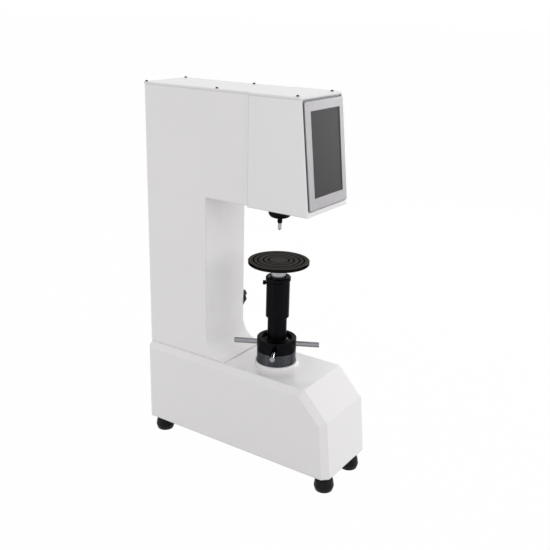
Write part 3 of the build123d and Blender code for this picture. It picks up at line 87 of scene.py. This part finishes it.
# sprayed coats: colour, its darker cloud, roughness span, orange peel, waviness, edge round and clear coat
coatLooks = {
    "enamel": {  # thick and glossy over hand-filled iron: soft, slightly wavy reflections
        "name": "stovedGlossEnamelOnCastIron", "color": "#F3F1F1", "cloud": "#EFEDED",
        "roughness": (0.26, 0.36), "peelMm": 2.5, "peelDeepMm": 0.012, "waveMm": 60, "waveDeepMm": 0.12,
        "edgeMm": 4.5, "coat": 0.6,
    },
    "powder": {  # baked on flat sheet: a little duller, finer peel, longer waves
        "name": "powderCoatOnSheetSteel", "color": "#F2F1F1", "cloud": "#F0EEEE",
        "roughness": (0.32, 0.40), "peelMm": 1.6, "peelDeepMm": 0.008, "waveMm": 140, "waveDeepMm": 0.10,
        "edgeMm": 4.0, "coat": 0.4,
    },
}
coatSkin = {"cloudMm": 180, "filmMm": 40, "ior": 1.5, "clearRoughness": 0.10}  # the same on every coat


def sprayedCoat(look):
    # enamel stoved over filled castings, and powder coat baked on sheet: a smooth pale skin whose slight
    # orange peel and waves soften the reflections, and which rounds off every edge
    material, tree, shader, place = startMaterial(look["name"], look["color"])
    cloud = addNode(tree, "ShaderNodeTexNoise", {}, {
        "Vector": place, "Scale": 1 / (coatSkin["cloudMm"] * mm), "Detail": 2.0})
    shade = addNode(tree, "ShaderNodeValToRGB", {}, {"Fac": cloud.outputs["Fac"]})
    shade.color_ramp.elements[0].color = toLinear(look["cloud"])
    shade.color_ramp.elements[1].color = toLinear(look["color"])
    low, high = look["roughness"]
    film = addNode(tree, "ShaderNodeTexNoise", {}, {
        "Vector": place, "Scale": 1 / (coatSkin["filmMm"] * mm), "Detail": 3.0})
    gloss = addNode(tree, "ShaderNodeMapRange", {}, {
        "Value": film.outputs["Fac"], "To Min": low, "To Max": high})
    edge = addNode(tree, "ShaderNodeBevel", {"samples": bevelSamples}, {"Radius": look["edgeMm"] * mm})
    wave = addNode(tree, "ShaderNodeTexNoise", {}, {
        "Vector": place, "Scale": 1 / (look["waveMm"] * mm), "Detail": 1.0})
    waved = addNode(tree, "ShaderNodeBump", {}, {
        "Height": wave.outputs["Fac"], "Distance": look["waveDeepMm"] * mm,
        "Normal": edge.outputs["Normal"]})
    # the real peel is about 1 mm across and is drawn coarser, so that it shows
    peel = addNode(tree, "ShaderNodeTexNoise", {}, {
        "Vector": place, "Scale": 1 / (look["peelMm"] * mm), "Detail": 2.0})
    peeled = addNode(tree, "ShaderNodeBump", {}, {
        "Height": peel.outputs["Fac"], "Distance": look["peelDeepMm"] * mm,
        "Normal": waved.outputs["Normal"]})
    setInputs(tree, shader, {
        "Base Color": shade.outputs["Color"], "Roughness": gloss.outputs["Result"],
        "Normal": peeled.outputs["Normal"], "IOR": coatSkin["ior"], "Coat Weight": look["coat"],
        "Coat Roughness": coatSkin["clearRoughness"]})
    return material


# turned metals: colour, its worn shade, roughness span, width and depth of the turning marks, pull of the
# highlight across them, and edge, a grey tint that dims what the metal mirrors at a glancing angle: a
# painted dark reflection at the rims
turnedLooks = {
    "black": {  # turned, polished and blacked: near black with soft upright streaks
        "name": "polishedBlackOxideSteel", "color": "#101012", "worn": "#18181B",
        "roughness": (0.22, 0.30), "markMm": 0.9, "deepMm": 0.004, "pull": 0.95, "edge": 0.6},
    "satin": {  # blacked and rubbed: a dull slate grey
        "name": "satinBlackOxideSteel", "color": "#35373A", "worn": "#54565A",
        "roughness": (0.30, 0.42), "markMm": 0.8, "deepMm": 0.010, "pull": 0.9, "edge": 0.7},
    "chrome": {  # plated and buffed: sharp reflections
        "name": "hardChromePlate", "color": "#8A8B8F", "worn": "#9A9B9F",
        "roughness": (0.04, 0.10), "markMm": 1.4, "deepMm": 0.002, "pull": 0.0, "edge": 0.1},
    "ground": {  # round ground: bright with faint rings
        "name": "cylindricallyGroundSteel", "color": "#8D8D91", "worn": "#B7B7BA",
        "roughness": (0.16, 0.30), "markMm": 0.7, "deepMm": 0.004, "pull": 0.4, "edge": 0.6},
    "bronze": {  # bored: warm and a little dull
        "name": "boredTinBronze", "color": "#9A7840", "worn": "#B48E54",
        "roughness": (0.26, 0.40), "markMm": 1.0, "deepMm": 0.006, "pull": 0.3, "edge": 0.9},
}
# the same on every turned piece: filed rims that catch a line of light, handling stains, how little the marks
# change across the axis, which makes rings of them, and the quarter turn that lays highlights across them
turnedSkin = {"rimMm": 1.0, "stainMm": 14, "acrossAxis": 0.03, "highlightTurn": 0.25}


def turnedMetal(look):
    # turned or ground round stock: fine rings round the axis that stretch each highlight into a soft streak.
    # The real marks are finer and are drawn about 1 mm wide, so that they show
    material, tree, shader, place = startMaterial(look["name"], look["color"])
    across = turnedSkin["acrossAxis"]
    flat = addNode(tree, "ShaderNodeMapping", {}, {"Vector": place, "Scale": (across, across, 1.0)})
    mark = addNode(tree, "ShaderNodeTexNoise", {}, {
        "Vector": flat.outputs["Vector"], "Scale": 1 / (look["markMm"] * mm), "Detail": 2.0})
    stain = addNode(tree, "ShaderNodeTexNoise", {}, {
        "Vector": place, "Scale": 1 / (turnedSkin["stainMm"] * mm), "Detail": 3.0})
    shade = addNode(tree, "ShaderNodeValToRGB", {}, {"Fac": stain.outputs["Fac"]})
    shade.color_ramp.elements[0].color = toLinear(look["color"])
    shade.color_ramp.elements[1].color = toLinear(look["worn"])
    low, high = look["roughness"]
    gloss = addNode(tree, "ShaderNodeMapRange", {}, {
        "Value": mark.outputs["Fac"], "To Min": low, "To Max": high})
    rim = addNode(tree, "ShaderNodeBevel", {"samples": bevelSamples}, {"Radius": turnedSkin["rimMm"] * mm})
    bump = addNode(tree, "ShaderNodeBump", {}, {
        "Height": mark.outputs["Fac"], "Distance": look["deepMm"] * mm, "Normal": rim.outputs["Normal"]})
    around = addNode(tree, "ShaderNodeTangent", {"direction_type": "RADIAL", "axis": "Z"})
    # painted dark reflection: the edge tint dims what the metal mirrors at a glancing angle
    edge = look["edge"]
    setInputs(tree, shader, {
        "Base Color": shade.outputs["Color"], "Metallic": 1.0, "Roughness": gloss.outputs["Result"],
        "Normal": bump.outputs["Normal"], "Specular Tint": (edge, edge, edge, 1.0),
        "Anisotropic": look["pull"], "Anisotropic Rotation": turnedSkin["highlightTurn"],
        "Tangent": around.outputs["Tangent"]})
    return material


# flat metals: colour, its worn shade, roughness span, width, run and depth of the marks
flatLooks = {
    "machined": {  # cutter paths across the machine: grey, with faint bands
        "name": "milledMildSteel", "color": "#7E7F82", "worn": "#97989B",
        "roughness": (0.30, 0.46), "markMm": 1.5, "stretch": (0.2, 1.0, 1.0), "deepMm": 0.010},
    "iron": {  # faced but porous: dark and even
        "name": "facedGreyCastIron", "color": "#56575A", "worn": "#686A6C",
        "roughness": (0.40, 0.60), "markMm": 1.2, "stretch": (1.0, 1.0, 1.0), "deepMm": 0.030},
    "dial": {  # bead blasted and dyed: matt black
        "name": "blackAnodisedAluminium", "color": "#18181A", "worn": "#202022",
        "roughness": (0.36, 0.48), "markMm": 0.6, "stretch": (1.0, 1.0, 1.0), "deepMm": 0.004},
    "bezel": {  # brushed up its slope: silver, with fine lines
        "name": "brushedAnodisedAluminium", "color": "#ABA9AC", "worn": "#B4B2B5",
        "roughness": (0.30, 0.42), "markMm": 1.2, "stretch": (1.0, 0.02, 0.02), "deepMm": 0.004},
}
# the same on every flat piece: oil film size, the shares of marks and oil in the shade, and their span
flatSkin = {"oilMm": 25, "markShare": 0.6, "oilShare": 0.5, "offset": -0.05, "span": (0.35, 0.65)}


def flatMetal(look):
    # cutter paths, casting pores, blast pits or brush lines: dull across the light and bright along it. Brush
    # lines and pits are really about 0.1 mm wide and are drawn coarser, so that they show
    material, tree, shader, place = startMaterial(look["name"], look["color"])
    along = addNode(tree, "ShaderNodeMapping", {}, {"Vector": place, "Scale": look["stretch"]})
    mark = addNode(tree, "ShaderNodeTexNoise", {}, {
        "Vector": along.outputs["Vector"], "Scale": 1 / (look["markMm"] * mm), "Detail": 4.0})
    oil = addNode(tree, "ShaderNodeTexNoise", {}, {
        "Vector": place, "Scale": 1 / (flatSkin["oilMm"] * mm), "Detail": 4.0})
    marked = addNode(tree, "ShaderNodeMath", {"operation": "MULTIPLY_ADD"}, {
        0: mark.outputs["Fac"], 1: flatSkin["markShare"], 2: flatSkin["offset"]})
    oiled = addNode(tree, "ShaderNodeMath", {"operation": "MULTIPLY_ADD"}, {
        0: oil.outputs["Fac"], 1: flatSkin["oilShare"], 2: marked.outputs["Value"]})
    shade = addNode(tree, "ShaderNodeValToRGB", {}, {"Fac": oiled.outputs["Value"]})
    for stop, color, spot in zip(shade.color_ramp.elements, ("color", "worn"), flatSkin["span"]):
        stop.color = toLinear(look[color])
        stop.position = spot
    low, high = look["roughness"]
    gloss = addNode(tree, "ShaderNodeMapRange", {}, {
        "Value": mark.outputs["Fac"], "To Min": low, "To Max": high})
    bump = addNode(tree, "ShaderNodeBump", {}, {
        "Height": mark.outputs["Fac"], "Distance": look["deepMm"] * mm})
    setInputs(tree, shader, {
        "Base Color": shade.outputs["Color"], "Metallic": 1.0, "Roughness": gloss.outputs["Result"],
        "Normal": bump.outputs["Normal"]})
    return material


# moulded, laid-up and painted stuffs: colour, a fleck colour that shows as dust, bloom or weave, roughness
# span, width and depth of the grain, and shine, the specular level, which black stuffs keep low
mouldedLooks = {
    "rubber": {  # pressed in a steel mould: black and dull, with a faint bloom
        "name": "mouldedNitrileRubber", "color": "#0F0F10", "fleck": "#1B1B1C",
        "roughness": (0.34, 0.52), "grainMm": 0.9, "deepMm": 0.03, "ior": 1.52, "shine": 0.12},
    "plastic": {  # moulded on a spark-eroded tool: an even matt grain
        "name": "grainedBlackNylon", "color": "#121213", "fleck": "#1A1A1B",
        "roughness": (0.36, 0.50), "grainMm": 0.7, "deepMm": 0.03, "ior": 1.53, "shine": 0.25},
    "knob": {  # pressed and tumbled: deep black with a soft gloss
        "name": "mouldedPhenolic", "color": "#0A0A0B", "fleck": "#121214",
        "roughness": (0.16, 0.26), "grainMm": 6.0, "deepMm": 0.01, "ior": 1.6, "shine": 0.2},
    "board": {  # lacquer over woven glass: green, uneven gloss
        "name": "solderResistOnGlassEpoxy", "color": "#184D2C", "fleck": "#24683C",
        "roughness": (0.26, 0.40), "grainMm": 1.0, "deepMm": 0.02, "ior": 1.55, "shine": 0.5},
    "legend": {  # wiped into the engraving: chalky white
        "name": "whiteEngravingPaint", "color": "#DEDEDC", "fleck": "#F0F0EE",
        "roughness": (0.50, 0.70), "grainMm": 0.8, "deepMm": 0.02, "ior": 1.5, "shine": 0.4},
    "glass": {  # acid etched and low in reflection: dark, with a veil of light over it
        "name": "etchedDisplayGlass", "color": "#1A181C", "fleck": "#1F1D21",
        "roughness": (0.34, 0.44), "grainMm": 0.8, "deepMm": 0.002, "ior": 1.4, "shine": 0.45},
}
bloomMm = 20  # size of the bloom patches on every moulded piece


def mouldedStuff(look):
    # rubber, nylon, phenolic, board lacquer, engraving paint and etched glass: even, with a fine skin, whose
    # grain is drawn about 1 mm wide so that it shows. On the knob it is a soft ripple instead, 6 mm wide
    material, tree, shader, place = startMaterial(look["name"], look["color"])
    grain = addNode(tree, "ShaderNodeTexNoise", {}, {
        "Vector": place, "Scale": 1 / (look["grainMm"] * mm), "Detail": 2.0})
    bloom = addNode(tree, "ShaderNodeTexNoise", {}, {
        "Vector": place, "Scale": 1 / (bloomMm * mm), "Detail": 3.0})
    shade = addNode(tree, "ShaderNodeValToRGB", {}, {"Fac": bloom.outputs["Fac"]})
    shade.color_ramp.elements[0].color = toLinear(look["color"])
    shade.color_ramp.elements[1].color = toLinear(look["fleck"])
    low, high = look["roughness"]
    gloss = addNode(tree, "ShaderNodeMapRange", {}, {
        "Value": grain.outputs["Fac"], "To Min": low, "To Max": high})
    bump = addNode(tree, "ShaderNodeBump", {}, {
        "Height": grain.outputs["Fac"], "Distance": look["deepMm"] * mm})
    setInputs(tree, shader, {
        "Base Color": shade.outputs["Color"], "Roughness": gloss.outputs["Result"],
        "Normal": bump.outputs["Normal"], "IOR": look["ior"], "Specular IOR Level": look["shine"]})
    return material


# below 0.528 m the anvil is its shank, and 74.4 mm out the rim begins, painted near black as shade; the
# turning rings are coarser than a lathe leaves them, so that they show; each centring groove is painted black
# as shade, in a band wider than the groove
anvilLook = {
    "land": "#4A4744", "grooveShade": "#060606", "rim": "#151413", "shank": "#A3A1A1",
    "grooveRadiiMm": (25.0, 37.5, 51.0, 62.0), "grooveShadeHalfMm": 1.9, "rimShadeRadiusMm": 74.4, "shankTopM": 0.528,
    "turningMm": 2.4, "turningDeepMm": 0.05, "roughness": (0.14, 0.24), "pull": 0.92, "edge": 0.42,
}


def lappedAnvil():
    # hardened steel, blacked and then lapped: dark lands whose turning rings throw the light into two wedges,
    # centring grooves painted black as shade, a rim painted near black as shade, and a shank left bright from
    # the grinder
    material, tree, shader, place = startMaterial("lappedHardenedSteel", anvilLook["land"])
    centred = addNode(tree, "ShaderNodeMapping", {}, {
        "Vector": place, "Location": (-testAxis[0], -testAxis[1], 0.0), "Scale": (1.0, 1.0, 0.0)})
    length = addNode(tree, "ShaderNodeVectorMath", {"operation": "LENGTH"}, {0: centred.outputs["Vector"]})
    radius = length.outputs["Value"]
    ring = addNode(tree, "ShaderNodeTexNoise", {"noise_dimensions": "1D"}, {
        "W": radius, "Scale": 1 / (anvilLook["turningMm"] * mm), "Detail": 3.0})
    low, high = anvilLook["roughness"]
    gloss = addNode(tree, "ShaderNodeMapRange", {}, {
        "Value": ring.outputs["Fac"], "To Min": low, "To Max": high})
    bump = addNode(tree, "ShaderNodeBump", {}, {
        "Height": ring.outputs["Fac"], "Distance": anvilLook["turningDeepMm"] * mm})
    color = toLinear(anvilLook["land"])
    # painted shade: a black band over each centring groove, wider than the groove, darkens it as shade would
    for grooveMm in anvilLook["grooveRadiiMm"]:
        inGrooveShade = addNode(tree, "ShaderNodeMath", {"operation": "COMPARE"}, {
            0: radius, 1: grooveMm * mm, 2: anvilLook["grooveShadeHalfMm"] * mm})
        grooveShaded = addNode(tree, "ShaderNodeMix", {"data_type": "RGBA"}, {
            "Factor": inGrooveShade.outputs["Value"], "A": color, "B": toLinear(anvilLook["grooveShade"])})
        color = grooveShaded.outputs["Result"]
    # painted shade: past the rim radius the disc's edge and side are painted near black
    rim = addNode(tree, "ShaderNodeMath", {"operation": "GREATER_THAN"}, {
        0: radius, 1: anvilLook["rimShadeRadiusMm"] * mm})
    color = addNode(tree, "ShaderNodeMix", {"data_type": "RGBA"}, {
        "Factor": rim.outputs["Value"], "A": color, "B": toLinear(anvilLook["rim"])}).outputs["Result"]
    height = addNode(tree, "ShaderNodeSeparateXYZ", {}, {"Vector": place}).outputs["Z"]
    shank = addNode(tree, "ShaderNodeMath", {"operation": "LESS_THAN"}, {
        0: height, 1: anvilLook["shankTopM"]})
    color = addNode(tree, "ShaderNodeMix", {"data_type": "RGBA"}, {
        "Factor": shank.outputs["Value"], "A": color, "B": toLinear(anvilLook["shank"])}).outputs["Result"]
    around = addNode(tree, "ShaderNodeTangent", {"direction_type": "RADIAL", "axis": "Z"})
    # painted dark reflection: the edge tint dims what the anvil mirrors at a glancing angle
    edge = anvilLook["edge"]
    setInputs(tree, shader, {
        "Base Color": color, "Metallic": 1.0, "Roughness": gloss.outputs["Result"],
        "Normal": bump.outputs["Normal"], "Specular Tint": (edge, edge, edge, 1.0),
        "Anisotropic": anvilLook["pull"], "Anisotropic Rotation": turnedSkin["highlightTurn"],
        "Tangent": around.outputs["Tangent"]})
    return material


finishes = {finish: sprayedCoat(look) for finish, look in coatLooks.items()}
finishes.update({finish: turnedMetal(look) for finish, look in turnedLooks.items()})
finishes.update({finish: flatMetal(look) for finish, look in flatLooks.items()})
finishes.update({finish: mouldedStuff(look) for finish, look in mouldedLooks.items()})
finishes["anvil"] = lappedAnvil()

nodeFinish = {
    "enamel": ["base_casting", "column_casting"],
    "powder": ["head_cover", "top_lid", "rear_cover"],
    "bezel": ["screen_frame"],
    "glass": ["touch_screen"],
    "black": ["handwheel_hub", "lower_sleeve", "upper_sleeve", "sleeve_collar", "clamp_screw",
              "spindle_guard", "indenter_holder", "column_bolts"],
    "satin": ["bearing_ring", "cover_screws"],
    "chrome": ["handwheel_bar_1", "handwheel_bar_2", "handwheel_bar_3", "handwheel_bar_4"],
    "ground": ["thrust_bearing", "spindle", "indenter", "fulcrum_pin", "dash_piston", "loading_cam",
               "selector_shaft", "foot_studs", "elevating_screw"],
    "machined": ["screen_carrier", "spindle_housing", "scale_arm", "fulcrum_bracket", "load_lever",
                 "weight_hanger", "dash_cylinder", "gearbox", "load_motor", "power_supply"],
    "bronze": ["screw_guide", "elevating_nut", "spindle_bushes"],
    "iron": ["weight_1", "weight_2", "weight_3"],
    "rubber": ["foot_front_left", "foot_front_right", "foot_rear_left", "foot_rear_right"],
    "plastic": ["power_inlet", "switch_frame", "power_rocker", "data_port", "scale_reader"],
    "knob": ["selector_knob"],
    "board": ["display_board", "control_board"],
    "dial": ["selector_plate"],
    "anvil": ["anvil_disc"],
}
for finish, names in nodeFinish.items():
    for name in names:
        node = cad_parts[name]
        node.data.materials.clear()
        node.data.materials.append(finishes[finish])
finished = sum(len(names) for names in nodeFinish.values())
print("stage 2: finishes on", finished, "of", len(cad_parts), "nodes")


def gridMesh(name, points, closed=False, capFirst=False, capLast=False):
    # points is an array (rows, columns, 3): neighbours in rows and columns make quads, columns may close into
    # a ring, and a cap is one flat face over the first or the last ring
    rows, columns = points.shape[:2]
    index = np.arange(rows * columns).reshape(rows, columns)
    across = np.hstack([index, index[:, :1]]) if closed else index
    quads = np.stack([across[:-1, :-1], across[:-1, 1:], across[1:, 1:], across[1:, :-1]], axis=-1)
    faces = quads.reshape(-1, 4).tolist()
    if capFirst:
        faces.append(index[0, ::-1].tolist())
    if capLast:
        faces.append(index[-1].tolist())
    mesh = bpy.data.meshes.new(name)
    mesh.from_pydata(points.reshape(-1, 3).tolist(), [], faces)
    mesh.update()
    return mesh


def placePiece(mesh, finish, body):
    # a finished mesh, already in place, becomes a piece that rides on its body
    piece = bpy.data.objects.new(mesh.name, mesh)
    bpy.context.scene.collection.objects.link(piece)
    mesh.materials.clear()
    mesh.materials.append(finishes[finish])
    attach(piece, body)
    return piece


# millimetres; root and flank are shares of half a lead
screwThread = {
    "lead": 5.0, "deep": 2.2, "root": 0.36, "flank": 0.26, "plainTop": 52.0, "runOut": 4.0, "endBevel": 2.0,
    "bore": 10.05, "boreDeep": 40.0, "keyWidth": 6.0, "keyDeep": 3.0, "keyTop": 60.0, "keyEdge": 0.02,
    "rowsPerLead": 8, "columns": 72,
}


def elevatingThread():
    # the thread is a grid over angle and height. Its phase is the height over the lead, less the angle over a
    # full turn. The land is a triangle wave of that phase, cut off flat at root and crest, and the radius is
    # the screw's own, less the depth where there is no land. The screw's top stays plain, and its keyway flat
    low, high = (np.array(v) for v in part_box("elevating_screw"))
    outer = (high[0] - low[0]) / 2
    lead, deep = screwThread["lead"] * mm, screwThread["deep"] * mm
    rows = int((high[2] - low[2]) / lead * screwThread["rowsPerLead"])
    z = np.linspace(low[2], high[2], rows)[:, None]
    keyHalf = np.arcsin(screwThread["keyWidth"] / 2 * mm / outer)
    wallSides = np.array([-1 - screwThread["keyEdge"], -1 + screwThread["keyEdge"],
                          1 - screwThread["keyEdge"], 1 + screwThread["keyEdge"]])
    keyEdges = 1.5 * np.pi + wallSides * keyHalf  # the keyway faces the front, at three quarters of a turn
    evenTurn = np.linspace(0, 2 * np.pi, screwThread["columns"], endpoint=False)
    angle = np.sort(np.append(evenTurn, keyEdges))[None, :]
    phase = (z / lead - angle / (2 * np.pi)) % 1
    land = np.clip((np.abs(2 * phase - 1) - screwThread["root"]) / screwThread["flank"], 0, 1)
    plain = np.clip((z - high[2] + screwThread["plainTop"] * mm) / (screwThread["runOut"] * mm) + 1, 0, 1)
    ends = np.clip((z - low[2]) / (screwThread["endBevel"] * mm), 0, 1)
    radius = outer - deep * (1 - land) * (1 - plain) - (1 - ends) * deep * land
    x, y = radius * np.cos(angle), radius * np.sin(angle)
    belowHead = z < high[2] - screwThread["keyTop"] * mm
    keyed = (np.abs(x) < screwThread["keyWidth"] / 2 * mm) & (y < 0) & belowHead
    y = np.where(keyed, np.maximum(y, screwThread["keyDeep"] * mm - outer), y)
    shell = np.stack([x, y, np.broadcast_to(z, x.shape)], axis=-1)
    # the anvil's bore: a ring at the top, then a straight wall down to its floor
    unitRing = np.stack([np.cos(angle[0]), np.sin(angle[0]), np.zeros(angle.size)], axis=-1)
    up = np.array([0, 0, 1.0])
    boreHeights = high[2] - np.array([0.0, screwThread["boreDeep"]])[:, None, None] * mm
    boreRings = unitRing * screwThread["bore"] * mm + up * boreHeights
    points = np.concatenate([shell, boreRings]) + np.array([*testAxis, 0])
    mesh = gridMesh("elevatingScrewThread", points, closed=True, capFirst=True, capLast=True)
    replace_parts(placePiece(mesh, "ground", "elevating_screw"), "elevating_screw")


# millimetres and degrees: figures at their turns from straight up, ticks all round but near a figure, and
# paint that stands a hair proud of the plate
dial = {
    "innerRadius": 28.6, "outerRadius": 31.6, "ticks": 24, "tickWidth": 0.6, "proud": 0.02,
    "figureRadius": 30.0, "figureHeight": 3.6, "figureClear": 10,
    "figures": {"60": 60.0, "100": 0.0, "150": -60.0},
}
capitalShare = 0.7  # of Blender's text size


def selectorDial():
    # the ticks stand at equal angles. Each corner is the dial's centre, plus a radius times the tick's
    # direction, plus or less half a width across it, and a figure stands with its foot to the centre
    low, high = (np.array(v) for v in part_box("selector_plate"))
    face = high[0] + dial["proud"] * mm
    centre = (low[1:] + high[1:]) / 2
    turns = np.arange(dial["ticks"]) * 360 / dial["ticks"]
    figureTurns = 90 - np.array([*dial["figures"].values()])[:, None]
    away = np.abs((turns - figureTurns + 180) % 360 - 180)
    angle = np.radians(turns[np.all(away >= dial["figureClear"], axis=0)])
    outward = np.stack([np.cos(angle), np.sin(angle)], axis=-1)
    across = np.stack([-np.sin(angle), np.cos(angle)], axis=-1) * dial["tickWidth"] / 2 * mm
    inner, outer = outward * dial["innerRadius"] * mm, outward * dial["outerRadius"] * mm
    corners = np.stack([inner - across, outer - across, outer + across, inner + across], axis=1)
    points = np.insert(corners + centre, 0, face, axis=-1).reshape(-1, 3)
    mesh = bpy.data.meshes.new("selectorDialTicks")
    mesh.from_pydata(points.tolist(), [], np.arange(len(points)).reshape(-1, 4).tolist())
    mesh.update()
    placePiece(mesh, "legend", "frame")
    for text, turn in dial["figures"].items():
        curve = bpy.data.curves.new("figure" + text, "FONT")
        curve.body = text
        curve.size = dial["figureHeight"] * mm / capitalShare
        curve.align_x, curve.align_y = "CENTER", "CENTER"
        holder = bpy.data.objects.new("figure" + text, curve)
        mesh = bpy.data.meshes.new_from_object(holder)
        bpy.data.objects.remove(holder)
        # figures are laid in the plate's plane, y and z, with their tops outward
        spot = Matrix.Translation((face, *centre)) @ Matrix.Rotation(radians(turn), 4, "X")
        spot = spot @ Matrix.Translation((0, 0, dial["figureRadius"] * mm))
        mesh.transform(spot @ Matrix(((0, 0, 1, 0), (1, 0, 0, 0), (0, 1, 0, 0), (0, 0, 0, 1))))
        mesh.name = "selectorFigure" + text
        placePiece(mesh, "legend", "frame")


# millimetres from the knob's axis and below its face, and how many points lie across and along the paint
pointer = {"width": 1.8, "from": 4.2, "to": 22.8, "below": 0.35, "dip": 0.25, "across": 7, "along": 12}


def knobPointer():
    # white paint in the knob's slot. Its face hangs between the walls by the dip times one less the square of
    # the way across, which runs from -1 at one wall to 1 at the other
    low, high = (np.array(v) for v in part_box("selector_knob"))
    centre = (low[1:] + high[1:]) / 2
    ways = np.linspace(-1, 1, pointer["across"])
    u, v = np.meshgrid(ways, np.linspace(pointer["from"], pointer["to"], pointer["along"]))
    x = high[0] - (pointer["below"] + pointer["dip"] * (1 - u ** 2)) * mm
    points = np.stack([x, centre[0] + u * pointer["width"] / 2 * mm, centre[1] + v * mm], axis=-1)
    placePiece(gridMesh("selectorPointerPaint", points), "legend", "selector")


elevatingThread()
selectorDial()
knobPointer()
print("stage 3: thread, dial and pointer built")


def whiteShare(tree, amount):
    # white is seen by camera, glossy and transmission rays, and never lights the object
    path = addNode(tree, "ShaderNodeLightPath")
    seen = path.outputs["Is Camera Ray"]
    for ray in ("Is Glossy Ray", "Is Transmission Ray"):
        either = addNode(tree, "ShaderNodeMath", {"operation": "MAXIMUM"}, {0: seen, 1: path.outputs[ray]})
        seen = either.outputs["Value"]
    return addNode(tree, "ShaderNodeMath", {"operation": "MULTIPLY"}, {0: seen, 1: amount}).outputs["Value"]


floorLook = {"halfSizeM": 40.0, "color": "#D9D9D9", "roughness": 0.9, "shine": 0.1, "whiteShare": 0.985}


def paleFloor():
    # matt paper under its own white, which leaves a faint share of the object's shadow
    half = floorLook["halfSizeM"]
    corners = [(-half, -half, 0), (half, -half, 0), (half, half, 0), (-half, half, 0)]
    mesh = bpy.data.meshes.new("floor")
    mesh.from_pydata(corners, [], [(0, 1, 2, 3)])
    floor = bpy.data.objects.new("floor", mesh)
    bpy.context.scene.collection.objects.link(floor)
    material, tree, paper = startMaterial("paleStudioPaper", floorLook["color"])[:3]
    setInputs(tree, paper, {
        "Base Color": toLinear(floorLook["color"]), "Roughness": floorLook["roughness"],
        "Specular IOR Level": floorLook["shine"]})
    glow = addNode(tree, "ShaderNodeEmission", {}, {"Strength": 1.0})
    mix = addNode(tree, "ShaderNodeMixShader", {}, {
        "Fac": whiteShare(tree, floorLook["whiteShare"]), 1: paper.outputs[0], 2: glow.outputs[0]})
    setInputs(tree, tree.nodes["Material Output"], {"Surface": mix.outputs[0]})
    mesh.materials.append(material)


# each panel: its place, its width and height in metres, and its watts; all face the target
light = {"ambient": 0.69, "target": (0, -0.05, 0.5), "panels": {
    "frontLowPanel": ((0.5, -3.3, 0.9), (2.4, 1.6), 14),
    "frontPanel": ((-0.9, -3.0, 2.5), (2.0, 1.6), 8),
    "leftPanel": ((-2.9, 1.2, 0.8), (0.30, 1.4), 9),
    "rightPanel": ((3.0, -0.8, 1.2), (0.5, 2.0), 22),
    "backPanel": ((0.4, 3.4, 1.6), (2.0, 2.0), 2),
    "anvilLamp": ((2.76, 0.62, 1.49), (0.35, 0.30), 12),
}}


def studioLight():
    # an even white room, and soft panels that shape the sides, the column's front and the anvil's face
    world = bpy.data.worlds.new("studio")
    bpy.context.scene.world = world
    world.use_nodes = True
    tree = world.node_tree
    room = tree.nodes["Background"]
    setInputs(tree, room, {"Color": (1, 1, 1, 1), "Strength": light["ambient"]})
    white = addNode(tree, "ShaderNodeBackground", {}, {"Color": (1, 1, 1, 1), "Strength": 1.0})
    mix = addNode(tree, "ShaderNodeMixShader", {}, {
        "Fac": whiteShare(tree, 1.0), 1: room.outputs[0], 2: white.outputs[0]})
    setInputs(tree, tree.nodes["World Output"], {"Surface": mix.outputs[0]})
    for name, (place, size, watts) in light["panels"].items():
        panel = bpy.data.lights.new(name, "AREA")
        panel.shape = "RECTANGLE"
        panel.size, panel.size_y = size
        panel.energy = watts
        lamp = bpy.data.objects.new(name, panel)
        lamp.location = place
        lamp.rotation_euler = (Vector(light["target"]) - Vector(place)).to_track_quat("-Z", "Y").to_euler()
        bpy.context.scene.collection.objects.link(lamp)


# degrees, metres and millimetres; azimuth 0 looks from the front and turns towards +x
view = {
    "azimuth": -56.473, "elevation": 18.986, "roll": 1.445, "place": (-1.5500, -1.0869, 1.1359),
    "lens": 52.545, "sensor": 36,
}


def productCamera():
    # back points from the object to the camera: the sine of the azimuth to the right and its cosine to the
    # front, both times the cosine of the elevation, and the sine of the elevation upwards. Right is level, up
    # is the cross product of the two, and a roll about back comes last
    a, e, r = radians(view["azimuth"]), radians(view["elevation"]), radians(view["roll"])
    back = Vector((np.sin(a) * np.cos(e), -np.cos(a) * np.cos(e), np.sin(e)))
    right = Vector((np.cos(a), np.sin(a), 0))
    up = back.cross(right)
    turn = Matrix((right, up, back)).transposed() @ Matrix.Rotation(r, 3, "Z")
    data = bpy.data.cameras.new("productCamera")
    data.lens = view["lens"]
    data.sensor_width = view["sensor"]
    camera = bpy.data.objects.new("productCamera", data)
    camera.matrix_world = Matrix.Translation(view["place"]) @ turn.to_4x4()
    bpy.context.scene.collection.objects.link(camera)
    bpy.context.scene.camera = camera


paleFloor()
studioLight()
productCamera()
bpy.context.scene.view_settings.view_transform = "Standard"
print("stage 4: floor, lights and camera set")
